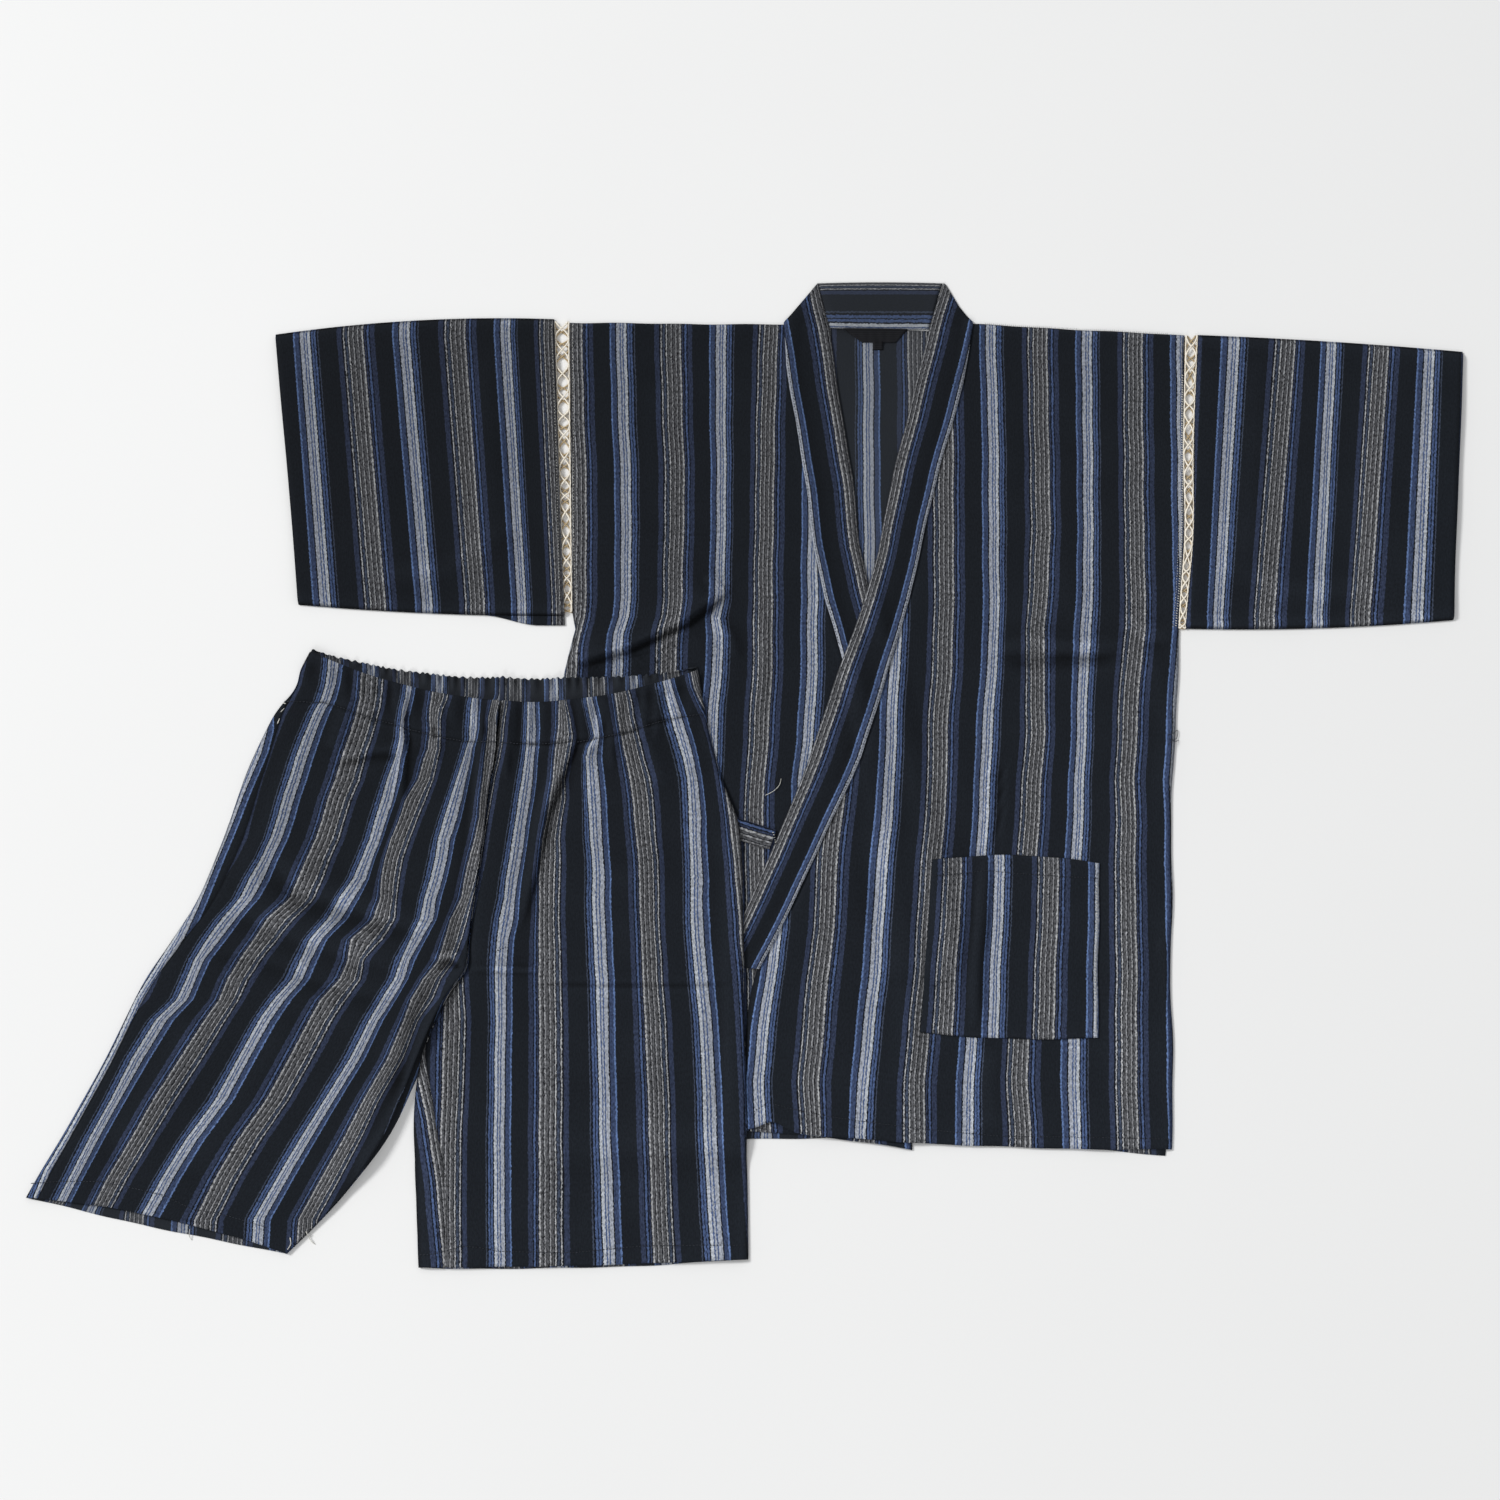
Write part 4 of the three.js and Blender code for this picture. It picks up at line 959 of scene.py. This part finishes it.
lay("shorts_front_left_leg", ["shorts_front_left"], LEG_LEFT, LEG_LEFT_THREADS,
    ["shorts_back_left_leg"], step=(EDGES[3] - 1,) + EDGES[:3], puff=2.4, seed=22,
    fall=("left",), **SHORTS_FRONT,
    strip={"width": [0.5, 0.5, 0.5, 1, 4, 9, 17, 19, 19, 15.5, 11.5, 10, 8, 8.5, 8.5, 9.5, 12],
           "columns": 7, "first": 0.0, "chart": table(
               "y light_0 grey_1", (60, -512, -462), (24, -509, -459), (0, -514, -464),
               (-46, -531, -481), (-150, -568, -518), (-184, -581, -531), (-245, -616, -566),
               (-285, -632, -582), (-343, -659, -609), (-411, -695, -645), (-436, -704, -654))},
    folds=[(-1.5, 2.4, 2.4, *CASING_LEFT),
           (4.2, 2.6, 10, -368, 72, -368, 28, -366, 14, -366, -16, -368, -56),
           (-2.2, 4, 4, -364, 44, -366, 28, -360, 4), (2.6, 3, 8, -330, 60, -331, 18, -336, -14),
           (-2.4, 4, 3, -338, 28, -334, 14), (4.0, 2.6, 9, -290, 60, -289, 14, -290, -47, -294, -95),
           (-1.8, 3, 3, -397, 44, -396, 28), (2.0, 8, 3, -434, -6, -396, 3, -366, 5),
           (-1.4, 3, 7, -434, -12, -396, -4, -366, -4), (1.8, 7, 10, -428, 62, -428, 40, -440, 0),
           (2.8, 20, 10, -534, -150, -463, -183, -414, -198, -355, -213),
           (2.4, 16, 8, -500, -96, -460, -136, -415, -150, -370, -166, -330, -176),
           (-1.4, 7, 14, -556, -203, -500, -213, -457, -230, -413, -245, -362, -253),
           (-1.1, 7, 11, -508, -119, -465, -154, -420, -166, -375, -181, -332, -188),
           (2.4, 14, 16, -350, -262, -400, -370, -440, -460), (2.0, 20, 20, -470, -262, -560, -420),
           (1.8, 16, 18, -560, -262, -640, -400), (3.6, 5, 3, -334, -207, -313, -203, -300, -214),
           (-2.6, 3, 3, -326, -216, -312, -211, -303, -216),
           (7.5, 8, 15, -302, -218, -316, -246, -330, -275, -345, -330, -372, -378, -410, -436),
           (1.8, 10, 12, -470, 20, -500, -70, -530, -140)])

# Sewing
def along_line(line, pitch):
    """Places every `pitch` along a line of points, with the line's direction there."""
    points = np.array(line, dtype=float).reshape(-1, 2)
    steps = np.diff(points, axis=0)
    starts = np.concatenate([[0], np.cumsum(np.hypot(steps[:, 0], steps[:, 1]))])
    at = np.arange(pitch / 2, starts[-1], pitch)
    leg = np.clip(np.searchsorted(starts, at) - 1, 0, len(steps) - 1)
    x = np.interp(at, starts, points[:, 0])
    y = np.interp(at, starts, points[:, 1])
    return x, y, np.arctan2(steps[leg, 1], steps[leg, 0])


def sew(name, runs, material):
    """Rows of stitches on the cloth. A run is (pitch, stitch length, width, lean, x, y, x, y, ...)."""
    bm = bmesh.new()
    for pitch, stitch, width, lean, *line in runs:
        x, y, angles = along_line(line, pitch)
        z = read_heap(heap, x, y)
        for k in range(len(x)):
            turn = angles[k] + lean + random.uniform(-STITCH_TURN, STITCH_TURN)
            spot = Vector((x[k] + random.uniform(-STITCH_SWAY, STITCH_SWAY),
                           y[k] + random.uniform(-STITCH_SWAY, STITCH_SWAY), z[k] + STITCH_LIFT)) * MM
            size = Matrix.Diagonal((stitch / 2 * MM, width / 2 * MM, width / 3 * MM, 1))
            bmesh.ops.create_icosphere(bm, subdivisions=1, radius=1, matrix=(
                Matrix.Translation(spot) @ Matrix.Rotation(turn, 4, "Z") @ size))
    bmesh.ops.recalc_face_normals(bm, faces=bm.faces)
    return settle(object_from(bm, name), material)


def cord_mesh(name, cords, sides=6):
    """Round cords in one mesh. Each is (radius, points), the points in millimetres."""
    bm = bmesh.new()
    for radius, points in cords:
        count = len(points)
        along = np.gradient(points, axis=0)
        along /= np.linalg.norm(along, axis=1)[:, None]
        side = np.cross(along, (0, 0, 1))
        side /= np.linalg.norm(side, axis=1)[:, None]
        up = np.cross(side, along)
        grid = bmesh.ops.create_grid(bm, x_segments=count - 1, y_segments=sides, size=0.5)
        for vert in grid["verts"]:
            i = int(round((vert.co.x + 0.5) * (count - 1)))
            angle = 2 * math.pi * round((vert.co.y + 0.5) * sides) / sides
            vert.co = (points[i] + radius * (math.cos(angle) * side[i] + math.sin(angle) * up[i])) * MM
    # Each cord's first and last row of points meet, and its ends are closed.
    bmesh.ops.remove_doubles(bm, verts=bm.verts, dist=0.001 * MM)
    bmesh.ops.holes_fill(bm, edges=[edge for edge in bm.edges if edge.is_boundary], sides=sides)
    bmesh.ops.recalc_face_normals(bm, faces=bm.faces)
    for face in bm.faces:
        face.smooth = True
    return object_from(bm, name)


# Rows of machine stitches: pitch, stitch length, width and lean
TOPSTITCH = (3.0, 2.4, 0.7, 0)
HEM_STITCH = (3.2, 2.6, 0.8, 0)
COLLAR_STITCH = (3.0, 1.9, 0.8, 0)
sew("dark_machine_stitching", [
    (*TOPSTITCH, -21, -357, -4, -346, 27, -354, 66, -361, 143, -371, 221, -378, 317, -379, 385, -381),
    (*TOPSTITCH, 158, -125, 215, -119, 242, -122, 323, -127),
    (*HEM_STITCH, *CASING_LEFT, *CASING_RIGHT),
    (*HEM_STITCH, -714, -423, -684, -421, -647, -421, -628, -424, -598, -431, -584, -434, -554, -448,
     -535, -450, -501, -459, -483, -465),
    (*HEM_STITCH, -337, -490, -321, -489, -297, -482, -282, -483, -260, -487, -189, -488, -130, -482,
     -71, -481, -24, -481),
    (*COLLAR_STITCH, *np.column_stack([OVER["seam_x"] - 1.3, OVER["seam_y"]]).ravel()),
    (*COLLAR_STITCH, *np.column_stack([UNDER["seam_x"] + 1.3, UNDER["seam_y"]])[:8].ravel()),
    (2.6, 2.2, 0.8, 0, -260, -194, -267, -198, -274, -200),
], dark_thread)
sew("dark_shoulder_fray", [
    (2.1, 3.0, 0.35, 1.5, 222, 455.6, 300, 451.0, 350, 448.0, 412, 444.5),
], dark_thread)
sew("pale_bar_tacks", [
    (4.2, 4.2, 1.0, 0, -490, 51.5, -485.5, 50.5), (7, 6.5, 1.0, 0, -487.5, 46.5, -491.5, 41),
    (8, 7.5, 1.0, 0, -491, 36, -494, 30),
], pale_thread)
sew("pale_overlock", [
    (2.9, 2.4, 0.8, 0.9, 320.5, -131, 319.4, -170, 317.0, -210, 315.0, -279),
    (2.6, 2.2, 0.9, 1.2, 425.5, 400, 422.6, 335, 421.2, 283, 418.0, 222, 413.6, 170, 408.6, 130),
    (2.8, 1.3, 0.6, 0, 422.8, 400, 419.8, 335, 418.4, 283, 415.2, 222, 410.8, 170, 405.8, 130),
    (3.2, 1.2, 0.6, 0, -227.0, 455, -219.0, 300, -213.0, 150),
    (3.2, 1.2, 0.6, 0, -205.5, 455, -202.5, 335, -200.2, 213, -196.8, 150),
    (2.4, 1.8, 0.8, 1.3, 1.5, -80, 3.2, -86, 4.6, -92),
], pale_thread)


LACE_POINTS = 14           # points along a cord for each crossing
LACE_EDGE_RADIUS = 0.6
LACE_EDGE_INSET = 0.9      # the edge cords lie this far inside the strip
LACE_SCALLOP = 0.35        # and swing out by this much
LACE_CROSSING = 0.35       # the crossing cords pass this far over and under each other
LACE_DRIFT = 0.28          # a crossing lies up to this share of a repeat off its even place


def lace_insertion(name, node, top, bottom, z, repeats, crowding, radius, seed, material, bow=0.0):
    """Cords of one layer of the lace: two that zigzag across each other and one along each edge. `top`
    and `bottom` are (y, left x, right x). Above 1, `crowding` brings the crossings closer downwards.
    `bow` is how far the strip bends out of the straight."""
    rng = np.random.default_rng(seed)
    s = np.linspace(0, repeats, int(repeats * LACE_POINTS) + 1)
    down = s / repeats
    y = top[0] + (bottom[0] - top[0]) * (1 - (1 - down) ** crowding)
    share = (y - top[0]) / (bottom[0] - top[0])
    bend = bow * np.exp(-((y - ARMHOLE_BOW_AT) / ARMHOLE_BOW_REACH) ** 2)
    left = top[1] + (bottom[1] - top[1]) * share + bend + LACE_EDGE_INSET
    right = top[2] + (bottom[2] - top[2]) * share + bend - LACE_EDGE_INSET
    middle = (left + right) / 2
    reach = (right - left) / 2
    knots = np.arange(int(repeats) + 2)
    drift = np.interp(s, knots, rng.uniform(-LACE_DRIFT, LACE_DRIFT, len(knots)))
    cords = []
    for turn, way in ((0, 1), (1, -1)):
        swing = np.sin(math.pi * (s + drift + turn) + math.pi / 2)
        swing = swing * (1.18 - 0.18 * swing * swing)      # fuller than a plain wave
        over = way * LACE_CROSSING * np.cos(math.pi * (s + drift + 0.5)) ** 2
        height = z + over * np.sign(np.sin(math.pi * s))
        cords.append((radius, np.column_stack([middle + reach * swing, y, height])))
    for edge, way in ((left, -1), (right, 1)):
        scallop = LACE_SCALLOP * np.abs(np.sin(math.pi * s * 3)) * way
        cords.append((LACE_EDGE_RADIUS, np.column_stack([edge + scallop, y, np.full_like(s, z)])))
    obj = cord_mesh(name, cords)
    settle(obj, material)
    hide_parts(node)


LACE_LEFT = ((458, -224.5, -208.6), (146, -210.5, -200.5))
LACE_RIGHT = ((443, 430.4, 443.6), (129, 411.2, 419))
LACE_BACK_Z = 1.25
LACE_FRONT_Z = 3.1
LACE_BOW = 4
# The back layers use the painted-shade copy of the cord.
lace_insertion("lace_left_back_cords", "lace_left_back", *LACE_LEFT, LACE_BACK_Z, 26, 1.35, 0.85, 3,
               lace_cord_painted_shade)
lace_insertion("lace_left_front_cords", "lace_left_front", *LACE_LEFT, LACE_FRONT_Z, 14, 1.0, 0.8, 5,
               lace_cotton)
lace_insertion("lace_right_back_cords", "lace_right_back", *LACE_RIGHT, LACE_BACK_Z, 26, 1.5, 0.85, 4,
               lace_cord_painted_shade, LACE_BOW)
lace_insertion("lace_right_front_cords", "lace_right_front", *LACE_RIGHT, LACE_FRONT_Z, 17, 1.25, 0.85, 6,
               lace_cotton, LACE_BOW)

THREAD_LIFT = 0.2          # a loose thread lies this far off the cloth
THREAD_ARCH = 1.2          # and its middle stands this much higher


def loose_thread(radius, *line):
    """A cut end of thread lying in a soft curve over what is below it."""
    points = np.array(line, dtype=float).reshape(-1, 2)
    place = np.linspace(0, len(points) - 1, 6 * len(points))
    x = smooth_column(points[:, 0], place)
    y = smooth_column(points[:, 1], place)
    arch = THREAD_ARCH * np.sin(np.linspace(0, math.pi, len(x)))
    z = np.maximum(read_heap(heap, x, y), 0) + radius + THREAD_LIFT + arch
    return radius, np.column_stack([x, y, z])


loose_pale = cord_mesh("loose_pale_threads", [
    loose_thread(0.3, -6, -43, 2, -39, 8, -33, 10, -26),
    loose_thread(0.35, -558, -466, -558, -472, -556, -476),
    loose_thread(0.4, -446, -468, -442, -476, -438, -480),
    loose_thread(0.5, -461, -474, -460, -480, -463, -485),
], 5)
settle(loose_pale, pale_thread)
loose_dark = cord_mesh("loose_dark_threads", [
    loose_thread(0.3, 396, 18, 402, 20, 407, 24, 406, 16, 400, 12, 397, 8),
    loose_thread(0.3, 397, 14, 403, 12, 408, 14),
], 5)
settle(loose_dark, dark_thread)

# Floor, light and camera
bpy.ops.mesh.primitive_plane_add(size=12)
floor = bpy.context.object
floor.name = "studio_floor"
floor.data.materials.append(studio_paper())


def add_light(name, place, aim, size, watts, colour):
    lamp = bpy.data.lights.new(name, "AREA")
    lamp.shape = "DISK"
    lamp.size = size
    lamp.energy = watts
    lamp.color = linear(colour)[:3]
    obj = bpy.data.objects.new(name, lamp)
    obj.location = place
    obj.rotation_euler = (Vector(aim) - Vector(place)).to_track_quat("-Z", "Y").to_euler()
    bpy.context.scene.collection.objects.link(obj)


# A large soft window at the upper left, a weak reflector by the hems, and the even light of the room
add_light("window_light", (-9.0, 3.6, 8.5), (0, 0, 0), 3.4, 1130, "#ffffff")
add_light("hem_side_reflector", (-2.0, -6.5, 5.0), (0, 0, 0), 3.0, 110, "#ffffff")
world = bpy.data.worlds.new("studio_air")
world.use_nodes = True
world.node_tree.nodes["Background"].inputs["Color"].default_value = linear("#f4f5f7")
world.node_tree.nodes["Background"].inputs["Strength"].default_value = 0.54
bpy.context.scene.world = world
bpy.context.scene.view_settings.view_transform = "Standard"

camera_data = bpy.data.cameras.new("photo_view")
camera_data.sensor_width = SENSOR
camera_data.lens = SENSOR * VIEW_DISTANCE / VIEW_WIDTH
camera = bpy.data.objects.new("photo_view", camera_data)
camera.location = (AIM_X * MM, (AIM_Y - VIEW_DISTANCE * math.sin(VIEW_TILT)) * MM,
                   VIEW_DISTANCE * math.cos(VIEW_TILT) * MM)
camera.rotation_euler = (VIEW_TILT, 0, 0)
bpy.context.scene.collection.objects.link(camera)
bpy.context.scene.camera = camera
